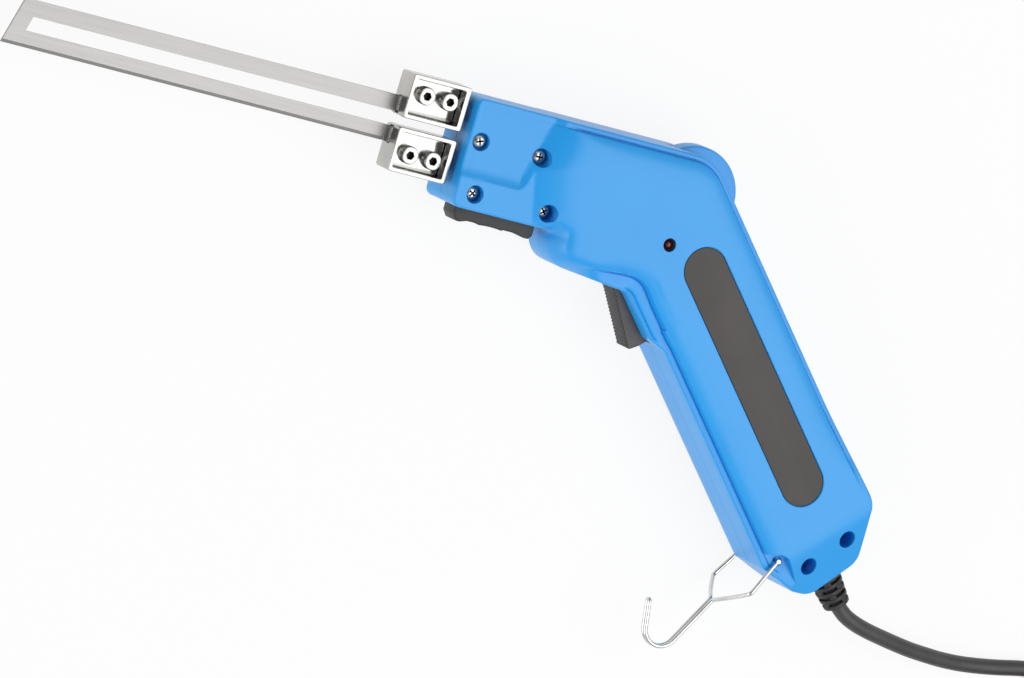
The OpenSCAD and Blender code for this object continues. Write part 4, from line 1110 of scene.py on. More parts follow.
    def openings(self) -> list[Surface]:
        """Cuts that both halves share: slots through the parting plane, a wedge at the toe and the hook's holes.

        Returns:
            Closed surfaces of the cuts.
        """
        hook, box = grip_point(*HINGE), lambda size, at: box_corners(*size, self.slot_corner, at)
        lead = [(*grip_point(s, LEAD_N), 0.0) for s in self.lead_bore]
        wedge = np.array(self.toe_wedge) + [*HINGE, 0]
        r, top = self.dial_slot_r, self.dial_slot_half
        wheel = [(0, -PAST), (r, -PAST), (r, top), (0, top)]
        stem = (SLIDE_SLOT[0], self.stem_slot_depth)
        return [
            in_grip(slab(box(self.trigger_slot, self.trigger_slot_at), -PAST, self.trigger_slot_half)),
            in_grip(slab(wedge, self.rim - self.skim, CLEAR)),
            placed(lathe(wheel, 96), (*DIAL_AT, 0)),
            *[slab(box(self.notch, (-self.nose_reach, side * self.notch_y)), -PAST, self.notch_half)
              for side in BOTH_SIDES],
            slab(box(stem, SLIDE_AT), -PAST, SLIDE_SLOT[1]),
            rod(*lead, self.lead_bore_r),
            *[rod((*hook, foot), (*hook, self.pin_hole_top), r, sides)
              for (r, foot), sides in ((self.pin_hole, 20), (self.pin_sink, 24))],
        ]

    def near_cuts(self) -> list[Surface]:
        """Screw counterbores, lamp hole and label recess of the half that faces the eye.

        Returns:
            Closed surfaces of the cuts.
        """
        places = self.screw_places()
        cuts = [rod((x, y, seat), (x, y, CLEAR), self.counterbore_r, 48) for x, y, seat in places]
        cuts += [rod((x, y, -PAST), (x, y, seat + PAST), self.pilot_r, 24) for x, y, seat in places]
        r, foot = self.lamp_hole
        cuts.append(rod((*LAMP_AT, foot), (*LAMP_AT, CLEAR), r, 32))
        long, wide = np.array(LABEL_SIZE) + self.label_play
        lip, brim = -self.label_chamfer, self.half + self.label_over
        levels = [(0, self.label_floor), (0, brim + lip), (lip, brim), (lip, CLEAR)]
        return [*cuts, in_grip(loft(box_corners(long, wide, wide / 2, LABEL_AT), levels, 16))]

    def build(self) -> None:
        """Makes both half shells."""
        bosses = [rod((x, y, self.boss_foot), (x, y, CLEAR), self.boss_r) for x, y, _ in self.screw_places()]
        hook = grip_point(*HINGE)
        bosses.append(rod((*hook, self.boss_foot), (*hook, CLEAR), self.hinge_boss_r))
        block = box_corners(self.toe_block, self.toe_block, self.boss_corner, self.toe_block_at)
        bosses.append(in_grip(slab(block, self.boss_foot, CLEAR)))
        room = mesh_object("hollow", self.hollow())
        carve(room, bosses)
        inside = surface_of(room)
        near = mesh_object("near_shell_skin", self.skin())
        carve(near, [inside, *self.openings(), *self.near_cuts()])
        dress(near, BLUE_ABS, "casing_blue", Body.CASING, "near_shell")
        half = mesh_object("half", self.skin())
        carve(half, [inside, *self.openings()])
        far = mesh_object("far_shell_skin", mirrored(surface_of(half), 2))
        dress(far, BLUE_ABS, "casing_blue", Body.CASING, "far_shell")


@dataclass
class Clamps:
    """Two open pressed cages with pressure plates and socket cap screws that grip the blade's ends."""

    rear: float = -84.5
    front: float = -109.0
    inner: float = 1.8
    outer: float = 18.8
    low: float = -4.0
    high: float = 8.0
    wall: float = 1.5
    back: float = 2.0
    corner: float = 1.2
    edge: float = 0.3
    pocket_r: float = 0.6
    notch_y: float = 5.85
    notch_w: float = 6.9
    notch_r: float = 0.4
    slot_y: float = 3.15
    slot_r: float = 0.1
    blade_root: float = -88.0
    screw_x: tuple[float, float] = (-100.9, -91.2)
    screw_y: float = 11.5
    hole_r: float = 2.0
    plate_t: float = 2.5
    plate_r: float = 1.5
    plate_edge: float = 0.25
    play: float = 0.3
    shank_r: float = 1.95
    shank: float = 6.5
    head_r: float = 3.5
    head_h: float = 4.0
    socket_r: float = 1.73
    socket_floor: float = 1.6
    painted_shade_under: float = 0.1

    def _pocket(self, shrink: float) -> tuple[float, float, tuple[float, float]]:
        """Pocket of the upper cage, drawn in by a margin.

        Args:
            shrink: The margin.

        Returns:
            Its length, its height and its middle.
        """
        x0, x1 = self.front + self.wall, self.rear - self.back
        size = (x1 - x0 - 2 * shrink, self.outer - self.inner - 2 * self.wall - 2 * shrink)
        return *size, ((x0 + x1) / 2, (self.inner + self.outer) / 2)

    def _cage(self) -> Surface:
        """Cage over the blade line: a rounded box with its pocket, blade notch and screw holes cut.

        Returns:
            The upper cage's surface.
        """
        middle = ((self.rear + self.front) / 2, (self.inner + self.outer) / 2)
        block = box_corners(self.rear - self.front, self.outer - self.inner, self.corner, middle)
        cage = mesh_object("cage", slab(block, self.low, self.high, self.edge, 8))
        w, h, at = self._pocket(0)
        run = self.blade_root + self.play - self.front
        notch = box_corners(2 * self.wall + PAST, self.notch_w, self.notch_r, (self.front, self.notch_y))
        slot = box_corners(run + PAST, self.wall, self.slot_r, (self.front + (run - PAST) / 2, self.slot_y))
        cuts = [slab(box_corners(w, h, self.pocket_r, at), -PAST, self.high + 2 * PAST, steps=4),
                slab(notch, -PAST, self.plate_t), slab(slot, -PAST, self.play)]
        under = self.low - 2 * PAST
        cuts += [rod((x, self.screw_y, under), (x, self.screw_y, 0), self.hole_r, 24) for x in self.screw_x]
        carve(cage, cuts)
        return surface_of(cage)

    def _screw(self) -> Surface:
        """Socket cap screw with its head's foot at zero: rounded rim, hexagon socket and plain shank.

        Returns:
            The screw's surface.
        """
        r, h, thin, end = self.head_r, self.head_h, self.shank_r, -self.shank
        profile = [(0, end), (thin - 0.25, end), (thin, end + 0.3), (thin, 0), (r - 0.15, 0), (r, 0.15),
                   (r, h - 0.45), (r - 0.12, h - 0.15), (r - 0.4, h), (0, h)]
        screw = mesh_object("cap_screw", lathe(profile, 48))
        a = -np.radians(np.arange(6) * 60.0)
        hexagon = np.column_stack([self.socket_r * np.cos(a), self.socket_r * np.sin(a), np.full(6, SHARP)])
        carve(screw, [slab(hexagon, self.socket_floor, h + 2 * PAST, steps=1)])
        return surface_of(screw)

    def build(self) -> None:
        """Makes both cages and plates, and the four screws as one piece with painted shade in their sockets."""
        cage, screw = self._cage(), self._screw()
        w, h, at = self._pocket(self.play)
        plate = slab(box_corners(w, h, self.plate_r, at), 0, self.plate_t, self.plate_edge, 6)
        lower = [mirrored(form, 1) for form in (cage, plate)]
        for name, forms in (("upper", (cage, plate)), ("lower", lower)):
            for kind, form, finish in zip(("cage", "plate"), forms, (NICKEL_PLATE, PLATE_STEEL)):
                made = mesh_object(f"{name}_{kind}_pressing", form)
                dress(made, finish, "clamp_nickel", Body.CASING, f"{name}_clamp_{kind}")
        centres = np.array([(x, side * self.screw_y) for x in self.screw_x for side in BOTH_SIDES])
        made = mesh_object("cap_screws", joined(*[placed(screw, (*at, self.plate_t)) for at in centres]))
        dress(made, NICKEL_PLATE, "screw_steel", Body.CASING, "clamp_screws")
        middle = face_middles(made)
        near = np.linalg.norm(middle[:, None, :2] - centres[None], axis=-1).min(1)
        up = middle[:, 2] - self.plate_t
        # Faces deep in the hexagon sockets take the near-black steel: painted shade in the sockets
        inside = (near < self.socket_r) & (up < self.head_h - self.painted_shade_under) & (up > PAST)
        second_finish(made, RECESS_SHADE_STEEL, inside)


@dataclass
class CasingScrews:
    """Six pan head screws with a cross recess in the casing's counterbores."""

    head_r: float = 2.9
    head_h: float = 2.4
    rim_h: float = 0.9
    shank_r: float = 1.5
    point: float = 1.0
    tip: float = -9.5
    cross: tuple[float, float] = (3.4, 0.95)
    cross_draft: float = 0.25
    cross_top: float = 4.0
    turn_deg: tuple[float, float] = (20.0, 37.0)
    painted_shade_over: float = 0.05
    painted_shade_under: float = 0.08

    def build(self, places: list[tuple[float, float, float]]) -> None:
        """Makes the screws as one piece, with their recesses painted near black as shade.

        Args:
            places: Plan place and seat height of each screw.
        """
        rise = self.head_h - self.rim_h
        dome = [(self.head_r * math.cos(a), self.rim_h + rise * math.sin(a)) for a in quarter(7)]
        levels = [(self.cross_draft, self.rim_h), (0, self.cross_top)]
        bars = [loft(box_corners(*size, SHARP), levels, 1) for size in (self.cross, self.cross[::-1])]
        made = []
        for i, (x, y, seat) in enumerate(places):
            end = self.tip - seat
            profile = [(0, end), (self.shank_r, end + self.point), (self.shank_r, 0), (self.head_r, 0), *dome]
            screw = mesh_object("pan_screw", lathe(profile, 36))
            axes = turned_about(math.radians(self.turn_deg[0] + self.turn_deg[1] * i))
            carve(screw, [placed(bar, axes=axes) for bar in bars])
            made.append(placed(surface_of(screw), (x, y, seat)))
        screws = mesh_object("cross_screws", joined(*made))
        dress(screws, ZINC_SCREW, "screw_steel", Body.CASING, "housing_screws")
        middle, seats = face_middles(screws), np.array(places)
        gap = np.linalg.norm(middle[:, None, :2] - seats[None, :, :2], axis=-1)
        up = middle[:, 2] - seats[gap.argmin(1), 2]
        skin = self.rim_h + rise * np.sqrt(np.clip(1 - (gap.min(1) / self.head_r) ** 2, 0, 1))
        # Faces inside the cross recesses take the near-black steel: painted shade in the recesses
        second_finish(screws, RECESS_SHADE_STEEL, (up > self.rim_h - self.painted_shade_over) & (up < skin - self.painted_shade_under))


@dataclass
class Trigger:
    """Rocking trigger with fine ribs across its front face.

    The outline holds shares of the length and the height about the pivot, and each corner's radius.
    """

    pivot: tuple[float, float] = (29.0, -24.0)
    length: float = 24.0
    height: float = 12.0
    thick: float = 10.4
    edge: float = 0.35
    bore_r: float = 1.55
    ribs: int = 17
    rib_depth: float = 0.32
    rib_r: float = 0.12
    rib_span: tuple[float, float] = (0.05, 0.95)
    outline: tuple[tuple[float, float, float], ...] = (
        (-0.117, -0.55, 1.0), (0.9625, -0.967, 1.2), (1, -0.583, 1.2), (1, 0.208, 1.5), (0.875, 0.458, 2),
        (0.29, 0.458, 2), (-0.083, 0.29, 2), (-0.208, 0, 2), (-0.2, -0.467, 1.2))

    def build(self) -> None:
        """Makes the trigger: its side outline, sawn by the ribs along the front, as a slab with rounded rims."""
        corners = np.array(self.outline) * [self.length, self.height, 1] + [*self.pivot, 0]
        start, run = corners[0, :2], corners[1, :2] - corners[0, :2]
        inward = np.array([-run[1], run[0]]) / np.linalg.norm(run)
        t = np.linspace(*self.rib_span, 2 * self.ribs + 1)
        depth = np.where(np.arange(len(t)) % 2 == 1, self.rib_depth, 0.0)
        saw = np.column_stack([start + t[:, None] * run + depth[:, None] * inward, np.full(len(t), self.rib_r)])
        side = np.vstack([corners[:1], saw, corners[1:]])[::-1]
        trigger = mesh_object("trigger_moulding", in_grip(slab(side, -self.thick / 2, self.thick / 2, self.edge, 4)))
        bore = grip_point(*self.pivot)
        carve(trigger, [rod((*bore, -self.thick), (*bore, self.thick), self.bore_r, 24)])
        # The whole trigger takes the lighter nylon, a painted lit copy for its up-facing sides
        dress(trigger, LIT_COPY_NYLON, "black_plastic", Body.TRIGGER, "trigger")
        places = np.column_stack(grip_coords(face_middles(trigger)))
        # The ribbed front keeps the darker nylon: painted shade on the faces turned from the light
        second_finish(trigger, BLACK_NYLON, (places - start) @ inward < 2 * self.rib_depth)


@dataclass
class Dial:
    """Heat dial that shows as a rim in the casing's rear corner."""

    radius: float = 18.8
    half: float = 4.0
    edge: float = 0.9
    bore: float = 3.02

    def build(self) -> None:
        """Makes the dial: a turned wheel with rounded rims and its shaft hole."""
        r, z = self.radius - self.edge, self.edge - self.half
        low = [(r + self.edge * math.sin(a), z - self.edge * math.cos(a)) for a in quarter(6)]
        section = [(0, -self.half), *low, *[(r, -z) for r, z in low[::-1]], (0, self.half)]
        wheel = mesh_object("dial_moulding", placed(lathe(section, 160), (*DIAL_AT, 0)))
        carve(wheel, [rod((*DIAL_AT, -2 * self.half), (*DIAL_AT, 2 * self.half), self.bore, 32)])
        dress(wheel, BLUE_ABS, "casing_blue", Body.DIAL, "dial_wheel")


@dataclass
class PanelFittings:
    """Indicator lamp in its holder, painted dark as shade, and the bare label plate on the handle."""

    lamp_r: float = 1.5
    lamp_foot: float = 14.2
    lamp_top: float = 16.9
    holder_r: float = 2.6
    holder_foot: float = 13.0
    holder_top: float = 18.4
    holder_play: float = 0.05
    holder_lip: float = 0.15
    flange_r: float = 3.4
    flange: tuple[float, float] = (15.2, 16.4)
    plate: tuple[float, float] = (18.0, 18.6)
    plate_edge: float = 0.15

    def build(self) -> None:
        """Makes the lamp's dome, the holder's dished ring and the plate."""
        dome = [(self.lamp_r * math.cos(a), self.lamp_top + self.lamp_r * math.sin(a)) for a in quarter(10)]
        lens = lathe([(0, self.lamp_foot), (self.lamp_r, self.lamp_foot), *dome], 40)
        made = mesh_object("lamp_lens", placed(lens, (*LAMP_AT, 0)))
        dress(made, RED_RESIN, "lamp_red", Body.CASING, "indicator_lamp")
        bore, out, lip, top = self.lamp_r + self.holder_play, self.holder_r, self.holder_lip, self.holder_top
        low, high = self.flange
        ring = [(bore, self.holder_foot), (out, self.holder_foot), (out, low), (self.flange_r, low),
                (self.flange_r, high), (out, high), (out, top - 0.1), (out - lip, top), (out - 2 * lip, top - 0.2),
                (bore + lip, self.lamp_top + 0.1), (bore, self.lamp_top), (bore, self.holder_foot)]
        made = mesh_object("lamp_bezel", placed(lathe(ring, 40), (*LAMP_AT, 0)))
        # The holder takes nylon painted blue black: painted shade of a deep hole
        dress(made, SHADE_PAINTED_NYLON, "black_plastic", Body.CASING, "lamp_holder")
        label = slab(box_corners(*LABEL_SIZE, LABEL_SIZE[1] / 2, LABEL_AT), *self.plate, self.plate_edge, 16)
        dress(mesh_object("label_blank", in_grip(label)), LABEL_LACQUER, "label_grey", Body.CASING, "label_plate")


@dataclass
class SlideBar:
    """Slide switch under the nose: a fixed bezel with end lips and a knob in its channel."""

    half_len: float = 17.0
    half_w: float = 5.2
    lip: float = 5.8
    saddle: float = 4.9
    edge: float = 0.5
    channel: tuple[float, float] = (23.0, 8.0)
    channel_y: float = -5.0
    channel_r: float = 0.4
    thumb: float = 5.4
    dish: float = 0.3
    dish_half: float = 4.9
    knob_half: float = 5.75
    knob_half_w: float = 3.7
    knob_top: float = -1.2
    knob_side: float = -4.7
    knob_edge: float = 0.35
    stem: tuple[float, float] = (6.0, 7.5)
    stem_y: float = 2.15
    stem_half: float = 2.0
    stem_r: float = 0.2

    def build(self) -> None:
        """Makes the bezel, hollowed along its channel, and the knob with its dished thumb face and stem."""
        at = (*SLIDE_AT, 0)
        end, low, mid = self.half_len, -self.lip, -self.saddle
        side = np.array([(-end, 0, SHARP), (end, 0, SHARP), (end, low + 1.4, 0.8), (end - 1.2, low, 0.8),
                         (end - 3.4, low, 1.5), (end - 6.4, mid, 2), (6.4 - end, mid, 2), (3.4 - end, low, 1.5),
                         (1.8 - end, low, 0.8), (-end, low + 2.4, 1.0)])
        bezel = mesh_object("slide_bar", placed(slab(side, -self.half_w, self.half_w, self.edge, 5), at))
        long, wide = self.channel
        channel = slab(box_corners(long, wide, self.channel_r, (0, self.channel_y)), -wide / 2, wide / 2)
        slot = slab(box_corners(SLIDE_SLOT[0], wide, self.stem_r), -SLIDE_SLOT[1], SLIDE_SLOT[1])
        carve(bezel, [placed(channel, at), placed(slot, at)])
        dress(bezel, BLACK_NYLON, "black_plastic", Body.CASING, "slide_bezel")
        t, out, r = np.linspace(-1, 1, 9), self.knob_half, self.channel_r
        dish = np.column_stack([-self.dish_half * t, self.dish * (1 - t * t) - self.thumb, np.full(9, r)])
        head = [(-out, self.knob_top, self.stem_r), (out, self.knob_top, self.stem_r), (out, self.knob_side, r)]
        face = np.vstack([head, dish, [(-out, self.knob_side, r)]])
        thumb = slab(face, -self.knob_half_w, self.knob_half_w, self.knob_edge, 3)
        knob = mesh_object("slide_thumb", placed(thumb, at))
        stem = slab(box_corners(*self.stem, self.stem_r, (0, self.stem_y)), -self.stem_half, self.stem_half)
        carve(knob, [placed(stem, at)], "UNION")
        dress(knob, BLACK_NYLON, "black_plastic", Body.KNOB, "slide_knob")


@dataclass
class Hook:
    """Hanging hook bent from one doubled wire, forked to two pins in the handle's end.

    Places are along and square to the handle, from the hinge.
    """

    wire_r: float = 0.85
    twin: float = 0.952
    fork: float = 17.4
    pin_top: float = 15.0
    pin_foot: float = 8.0
    neck: tuple[float, float] = (5.7, -26.1)
    mouth: tuple[float, float] = (5.0, -48.8)
    mouth_r: float = 7.0
    mouth_deg: tuple[float, float] = (16.0, -124.0)
    tip: float = 10.0
    step: float = 0.6

    def build(self) -> None:
        """Makes the hook as one tube along its bent line, with its two pins."""
        a = np.radians(np.linspace(*self.mouth_deg, 25))
        mouth = np.array(self.mouth) + self.mouth_r * np.column_stack([np.cos(a), np.sin(a)])
        out = np.array([math.sin(a[-1]), -math.cos(a[-1])])
        neck, last, tip = np.array(self.neck), mouth[-1], mouth[-1] + self.tip * out
        lead_in = neck + (mouth[0] - neck) * np.linspace(0, 1, 8, endpoint=False)[:, None]
        flat = np.vstack([lead_in, mouth, last + (tip - last) * np.linspace(0.15, 1, 6)[:, None]])
        arc = np.linspace(math.pi / 2, -math.pi / 2, 11)[1:-1]
        bend = [(*(tip + out * self.twin * math.cos(t)), self.twin * math.sin(t)) for t in arc]
        leg = [(0, 0, self.pin_top), (2.35, -8.05, (self.pin_top + self.fork) / 2), (4.4, -15.1, self.fork - 0.2),
               (4.85, -17.4, self.fork - 2.2), (5.3, -22, 8.1), (5.62, -25.2, 2.3), (*neck, self.twin)]
        fork = smoothed(np.array(leg), self.step)
        half = np.vstack([fork[:-1], np.column_stack([flat, np.full(len(flat), self.twin)])])
        path = np.vstack([half, bend, half[::-1] * [1, 1, -1]]) + [*HINGE, 0]
        top = self.pin_top + self.wire_r
        pins = [rod((*HINGE, side * self.pin_foot), (*HINGE, side * top), self.wire_r, 20) for side in (1, -1)]
        hook = mesh_object("hook_wire", in_grip(joined(tube(path, self.wire_r, 16), *pins)))
        dress(hook, SPRING_WIRE, "screw_steel", Body.HOOK, "hanging_hook")


@dataclass
class StrainRelief:
    """Flexible sleeve at the handle's end: flange, neck, collar and a taper of rings joined by bridges."""

    start: float = 169.5
    flange: tuple[float, float] = (6.5, 2.8)
    neck_r: float = 5.0
    collar: float = 5.8
    collar_r: float = 6.9
    taper: float = 7.6
    length: float = 19.4
    core_r: tuple[float, float] = (4.7, 3.9)
    base_r: float = 6.4
    tip_r: float = 5.2
    rings: int = 4
    ring_share: float = 0.42
    bridges: int = 4
    bridge_deg: float = 26.0
    bridge_first_deg: float = 20.0
    bridge_deep: float = 2.2

    def build(self) -> None:
        """Makes the turned core, the rings and the bridges between them, offset from row to row."""
        (wide, thick), low, r = self.flange, self.collar, self.collar_r
        base, end = self.core_r
        core = [(0, 0), (wide, 0), (wide, thick), (self.neck_r, thick), (self.neck_r, low), (r - 0.2, low),
                (r, low + 0.3), (r, low + 1.5), (r - 0.3, self.taper), (base, self.taper),
                (end, self.length - 0.5), (end - 0.3, self.length), (0, self.length)]
        parts = [lathe(core, 48)]
        pitch, apart = (self.length - self.taper) / self.rings, 360 / self.bridges
        for i in range(self.rings):
            low, high = self.taper + pitch * (i + self.ring_share), self.taper + pitch * (i + 1)
            foot, top = np.interp([low, high], [self.taper, self.length], [self.base_r, self.tip_r])
            ring = [(0, low), (foot - 0.2, low), (foot, low + 0.2), (top, high - 0.25), (top - 0.25, high), (0, high)]
            parts.append(lathe(ring, 48))
            turns = apart * np.arange(self.bridges) + apart / 2 * (i % 2) + self.bridge_first_deg
            parts += [self._bridge(low - pitch / 2, low + 0.3, foot - 0.1, turn) for turn in np.radians(turns)]
        axes = np.array([[0, 0, -1], [GRIP_SIN, GRIP_COS, 0], [GRIP_COS, -GRIP_SIN, 0]])
        sleeve = mesh_object("relief_sleeve", placed(joined(*parts), (*grip_point(self.start, LEAD_N), 0), axes))
        dress(sleeve, BLACK_NYLON, "black_plastic", Body.CASING, "strain_relief")

    def _bridge(self, low: float, high: float, outer: float, middle: float) -> Surface:
        """Bridge between two rings: a rectangle turned about the axis through part of a circle.

        Args:
            low: Height of its foot along the sleeve.
            high: Height of its top.
            outer: Outer radius.
            middle: Angle of its middle.

        Returns:
            The closed surface.
        """
        inner = outer - self.bridge_deep
        r, z = np.array([(inner, low), (outer, low), (outer, high), (inner, high)]).T
        a = middle + math.radians(self.bridge_deg) * np.linspace(-0.5, 0.5, 7)
        points = np.stack([np.outer(np.cos(a), r), np.outer(np.sin(a), r), np.tile(z, (len(a), 1))], -1)
        n, last = len(r), (len(a) - 1) * len(r)
        faces = grid_quads(len(a), n, True).tolist() + [list(range(n))[::-1], list(range(last, last + n))]
        return points.reshape(-1, 3), faces


@dataclass
class Lead:
    """Mains lead: a loose run from the handle, a two layer coil held by a tie, and a plug.

    The route holds places on the floor and heights over it. The plug's sizes run along its own axis.
    """

    diameter: float = 6.2
    start: float = 188.8
    step: float = 2.0
    inner_r: float = 24.8
    pitch: float = 6.7
    turns: float = 7.5
    turn_steps: int = 72
    coil_at: tuple[float, float, float] = (260.2, -195.925, 4.0)
    ease: float = 6.6
    tie_span: tuple[float, float] = (23.75, 54.325)
    tie_h: float = 15.1
    tie_t: float = 0.6
    tie_r: float = 3.0
    tie_half: float = 4.0
    tie_edge: float = 0.1
    plug_at: tuple[float, float, float] = (232.0, -245.85, 9.5)
    plug_ribs: int = 4
    plug_body: tuple[float, float, float] = (19.0, 38.0, 4.0)
    pin_apart: float = 19.0
    plug_levels: tuple[tuple[float, float], ...] = (
        (2.2, 14.0), (0.8, 14.6), (0, 16.2), (0, 19), (0.9, 23), (1.2, 27), (0.9, 31), (0, 35), (0, 40.6),
        (0.3, 41.5), (1.0, 42.0))
    pin: tuple[tuple[float, float], ...] = ((0, 40), (2.4, 40), (2.4, 59.4), (2.1, 60.4), (1.2, 61), (0, 61))
    route: tuple[tuple[float, float, float], ...] = (
        (133.2, -141.7, 18.7), (139, -144.1, 18), (145.5, -145.8, 16.9), (152.4, -147.1, 15.4), (160, -148.4, 13.5),
        (168.7, -149.7, 11.2), (177, -150.5, 9), (186, -151.1, 6.8), (195, -151.1, 5), (204, -150.4, 3.8),
        (213, -149.2, 3.3), (222, -147.6, 3.2), (232, -146.4, 3.5), (242, -146, 3.9), (248, -146, 4), (254, -146, 4))

    def path(self) -> np.ndarray:
        """Centre line of the whole lead, from the sleeve to the plug, heights from the floor.

        Returns:
            Points of the line.
        """
        route = np.array([(*grip_point(self.start, LEAD_N), MID), *self.route])
        u = np.linspace(0, self.turns, int(self.turns * self.turn_steps) + 1)
        r = self.inner_r + self.pitch * np.abs(u - self.turns / 2)
        rise = self.pitch * smooth_step(2 * (u - self.turns / 2) + 0.5, 0, 1)
        coil = self.coil_at + np.column_stack([r * np.sin(2 * math.pi * u), r * np.cos(2 * math.pi * u), rise])
        last = coil[-1] - [self.diameter, 0, 0]
        ease = np.array([self.ease, 0, 0])
        tail = np.array([last, last - ease, self.plug_at + ease, self.plug_at])
        return np.vstack([smoothed(route, self.step), coil, smoothed(tail, self.step)])

    def build(self) -> None:
        """Makes the lead as one tube, with its tie, plug and pins."""
        path = self.path()
        lead = mesh_object("lead_sheath", tube(path - [0, 0, MID], self.diameter / 2, 20))
        dress(lead, LEAD_VINYL, "cord_black", Body.CASING, "power_cord", "cord_coil", "cord_tail")
        pieces = [self._tie(), *self._plug()]

    def _tie(self) -> bpy.types.Object:
        """Flat strap round the coil's bundle: a rounded box with a smaller one cut out of it.

        Returns:
            The strap.
        """
        low, high = self.tie_span
        size, middle = np.array([high - low, self.tie_h]), ((low + high) / 2, self.tie_h / 2)
        outer = box_corners(*size, self.tie_r, middle)
        inner = box_corners(*(size - 2 * self.tie_t), self.tie_r - self.tie_t, middle)
        strap = mesh_object("tie", slab(outer, -self.tie_half, self.tie_half, self.tie_edge, 6))
        carve(strap, [slab(inner, -self.tie_half - PAST, self.tie_half + PAST)])
        axes = np.array([[1, 0, 0], [0, 0, 1], [0, -1, 0]])
        made = placed(surface_of(strap), (*self.coil_at[:2], -MID), axes)
        return dress(mesh_object("tie_strap", made), BLACK_NYLON, "tie_black", Body.CASING, "cord_tie")

    def _plug(self) -> list[bpy.types.Object]:
        """Flat two pin plug: ribbed tail, rounded body with a finger waist, and two round pins.

        Returns:
            The body and the pins.
        """
        axes = np.array([[0, 0, 1], [0, 1, 0], [-1, 0, 0]])
        at = np.array(self.plug_at) - [0, 0, MID]
        tail = [(0, 0), (4.2, 0), (4.5, 0.4)]
        for i in range(self.plug_ribs):
            z, r = 1.2 + 3.1 * i, 4.6 + 0.55 * i
            tail += [(r + 0.2, z), (r + 0.2, z + 1.6), (r - 0.6, z + 1.9), (r - 0.6, z + 2.8)]
        tail += [(7, 13.6), (7, 15), (0, 15)]
        moulding = joined(lathe(tail, 40), loft(box_corners(*self.plug_body), self.plug_levels, 8))
        pins = joined(*[placed(lathe(self.pin, 32), (0, side * self.pin_apart / 2, 0)) for side in BOTH_SIDES])
        body = mesh_object("plug_moulding", placed(moulding, at, axes))
        contacts = mesh_object("plug_contacts", placed(pins, at, axes))
        return [dress(body, LEAD_VINYL, "cord_black", Body.CASING, "plug_body"),
                dress(contacts, NICKEL_PLATE, "screw_steel", Body.CASING, "plug_pins")]


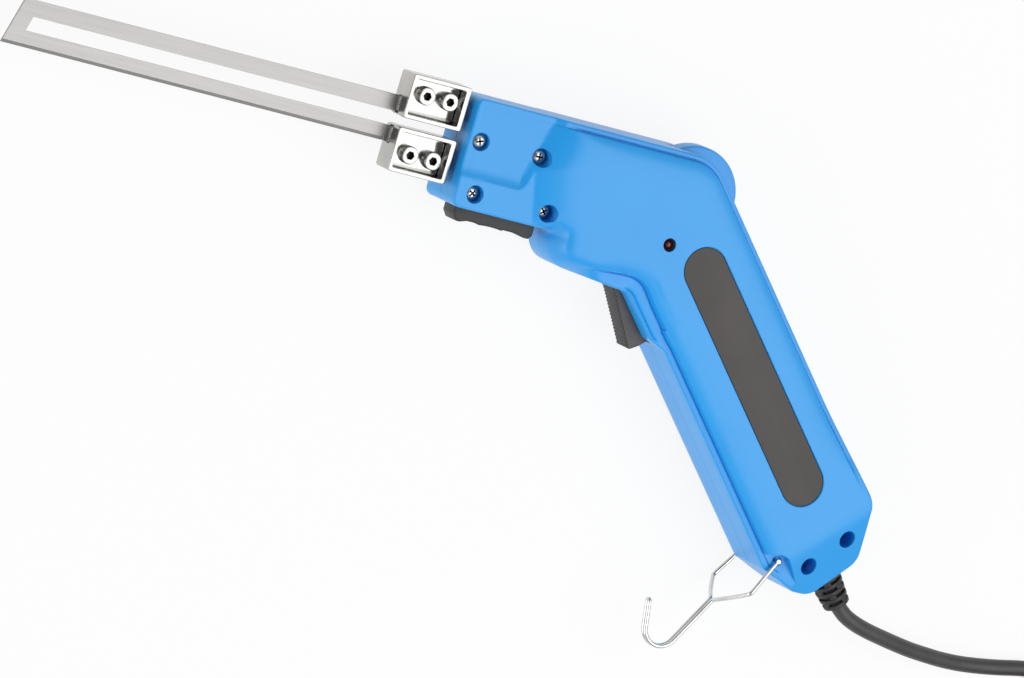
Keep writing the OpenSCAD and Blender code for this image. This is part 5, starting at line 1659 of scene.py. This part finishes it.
@dataclass
class Studio:
    """Camera as the photograph was taken, pale floor and soft studio light."""

    tilt: float = math.radians(26.0)
    phi: float = math.radians(26.0)
    roll: float = math.radians(15.275)
    px_per_mm: float = 2.65
    distance: float = 4000.0
    width: int = 1024
    target: tuple[float, float, float] = (-36.0, -69.53, 19.0)
    sensor: float = 36.0
    view_end_m: float = 100.0
    floor_half_m: float = 6.0
    floor_m: float = -0.0002
    paper: str = "#f4f4f3"
    paper_glow: float = 0.88
    horizon: float = 0.7
    full_sky: float = 0.9
    eye_cone: tuple[float, float] = (0.86, 0.97)
    sky_strength: tuple[float, float] = (0.6, 0.08)
    aim_m: tuple[float, float, float] = (0.0, -0.05, 0.0)
    lamps_m: tuple[tuple[str, tuple[float, float, float], float, float], ...] = (
        ("soft_box", (0.7, -0.12, 1.45), 1.6, 15.5), ("fill", (-1.7, -0.9, 0.45), 1.6, 19.0))

    def axes(self) -> tuple[np.ndarray, np.ndarray, np.ndarray]:
        """Works out the camera's directions: a tilt about a line of the picture at the angle phi, and a roll.

        Returns:
            Picture right, picture up and the way from the object to the camera, in the scene's frame.
        """
        cp, sp = math.cos(self.phi), math.sin(self.phi)
        t2, p2 = np.array([-cp, sp]), np.array([sp, cp])
        t3, p3, z3 = self._turned(t2), self._turned(p2), np.array([0, 0, 1.0])
        along = math.cos(self.tilt) * t3 - math.sin(self.tilt) * z3
        back = math.sin(self.tilt) * t3 + math.cos(self.tilt) * z3
        return t2[0] * along + p2[0] * p3, t2[1] * along + p2[1] * p3, back

    def _turned(self, v: np.ndarray) -> np.ndarray:
        """Turns a picture plane direction into the tool's plan by the roll."""
        cr, sr = math.cos(self.roll), math.sin(self.roll)
        return np.array([v[0] * cr - v[1] * sr, v[0] * sr + v[1] * cr, 0.0])

    def camera(self) -> None:
        """Sets up the camera."""
        right, up, back = self.axes()
        data = bpy.data.cameras.new("camera")
        data.sensor_width = self.sensor
        data.lens = self.px_per_mm * self.distance * self.sensor / self.width
        data.clip_end = self.view_end_m
        made = bpy.data.objects.new("camera", data)
        place = np.eye(4)
        place[:3, 0], place[:3, 1], place[:3, 2] = right, up, back
        place[:3, 3] = (np.array(self.target) + self.distance * back) * MM
        made.matrix_world = Matrix(place.tolist())
        bpy.context.scene.collection.objects.link(made)
        bpy.context.scene.camera = made

    def floor(self) -> None:
        """Lays the pale floor: white to the camera and to mirrors, with the object's own shadow."""
        mesh = bpy.data.meshes.new("floor")
        signs = ((-1, -1), (1, -1), (1, 1), (-1, 1))
        corners = [(x * self.floor_half_m, y * self.floor_half_m, self.floor_m) for x, y in signs]
        mesh.from_pydata(corners, [], [[0, 1, 2, 3]])
        made = bpy.data.objects.new("floor", mesh)
        bpy.context.scene.collection.objects.link(made)
        paper = bpy.data.materials.new("studio_paper")
        paper.use_nodes = True
        tree = paper.node_tree
        tree.nodes.clear()
        ray = put(tree, "LightPath").outputs
        seen = put(tree, "Math", {0: ray["Is Camera Ray"], 1: ray["Is Glossy Ray"]}, operation="MAXIMUM")
        seen = put(tree, "Math", {0: seen.outputs[0], 1: ray["Is Transmission Ray"]}, operation="MAXIMUM")
        share = put(tree, "Math", {0: seen.outputs[0], 1: self.paper_glow}, operation="MULTIPLY")
        matt = put(tree, "BsdfDiffuse", {"Color": linear(self.paper)})
        glow = put(tree, "Emission", {"Color": (1, 1, 1, 1), "Strength": 1.0})
        mixed = put(tree, "MixShader", {0: share.outputs[0], 1: matt.outputs[0], 2: glow.outputs[0]})
        put(tree, "OutputMaterial", {"Surface": mixed.outputs[0]})
        mesh.materials.append(paper)

    def light(self) -> None:
        """Lights the scene: a soft box that the flat sides mirror, a low fill in front and a pale surround.

        The surround is dark in a cone round the camera, so that faces square to it keep their colour.
        """
        world = bpy.data.worlds.new("surround")
        bpy.context.scene.world = world
        world.use_nodes = True
        tree = world.node_tree
        tree.nodes.clear()
        way = put(tree, "TexCoord").outputs["Generated"]
        up = put(tree, "SeparateXYZ", {0: way}).outputs["Z"]
        sky = put(tree, "ValToRGB", {"Fac": up})
        sky.color_ramp.elements[0].position = 0.0
        sky.color_ramp.elements[0].color = (*[self.horizon] * 3, 1)
        sky.color_ramp.elements[1].position = self.full_sky
        sky.color_ramp.elements[1].color = (1, 1, 1, 1)
        to_camera = tuple(self.axes()[2].tolist())
        eye = put(tree, "VectorMath", {0: way, 1: to_camera}, operation="DOT_PRODUCT").outputs["Value"]
        names = ("From Min", "From Max", "To Min", "To Max")
        cone = dict(zip(names, self.eye_cone + self.sky_strength))
        open_sky = put(tree, "MapRange", {"Value": eye, **cone}, interpolation_type="SMOOTHSTEP")
        back = put(tree, "Background", {"Color": sky.outputs["Color"], "Strength": open_sky.outputs["Result"]})
        put(tree, "OutputWorld", {"Surface": back.outputs[0]})
        for name, at, size, power in self.lamps_m:
            data = bpy.data.lights.new(name, "AREA")
            data.size = size
            data.energy = power
            lamp = bpy.data.objects.new(name, data)
            bpy.context.scene.collection.objects.link(lamp)
            aim = np.array(self.aim_m) - at
            lamp.location = at
            lamp.rotation_euler = Vector(aim.tolist()).to_track_quat("-Z", "Y").to_euler()


def dress_frame() -> None:
    """Gives every model node that stays in sight its own finish."""
    for name, finish in CAD_FINISHES.items():
        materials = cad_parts[name].data.materials
        materials.clear()
        materials.append(finish.material())


def main() -> None:
    """Builds the camera, the lead and every piece, then the finishes, the floor and the light."""
    logging.basicConfig(level=logging.INFO, format="%(message)s")
    bpy.context.scene.view_settings.view_transform = "Standard"
    studio = Studio()
    studio.camera()
    Lead().build()
    casing = Casing()
    casing.build()
    CasingScrews().build(casing.screw_places())
    for part in (Clamps(), Trigger(), Dial(), PanelFittings(), SlideBar(), Hook(), StrainRelief()):
        part.build()
    dress_frame()
    studio.floor()
    studio.light()


if __name__ == "__main__":
    main()
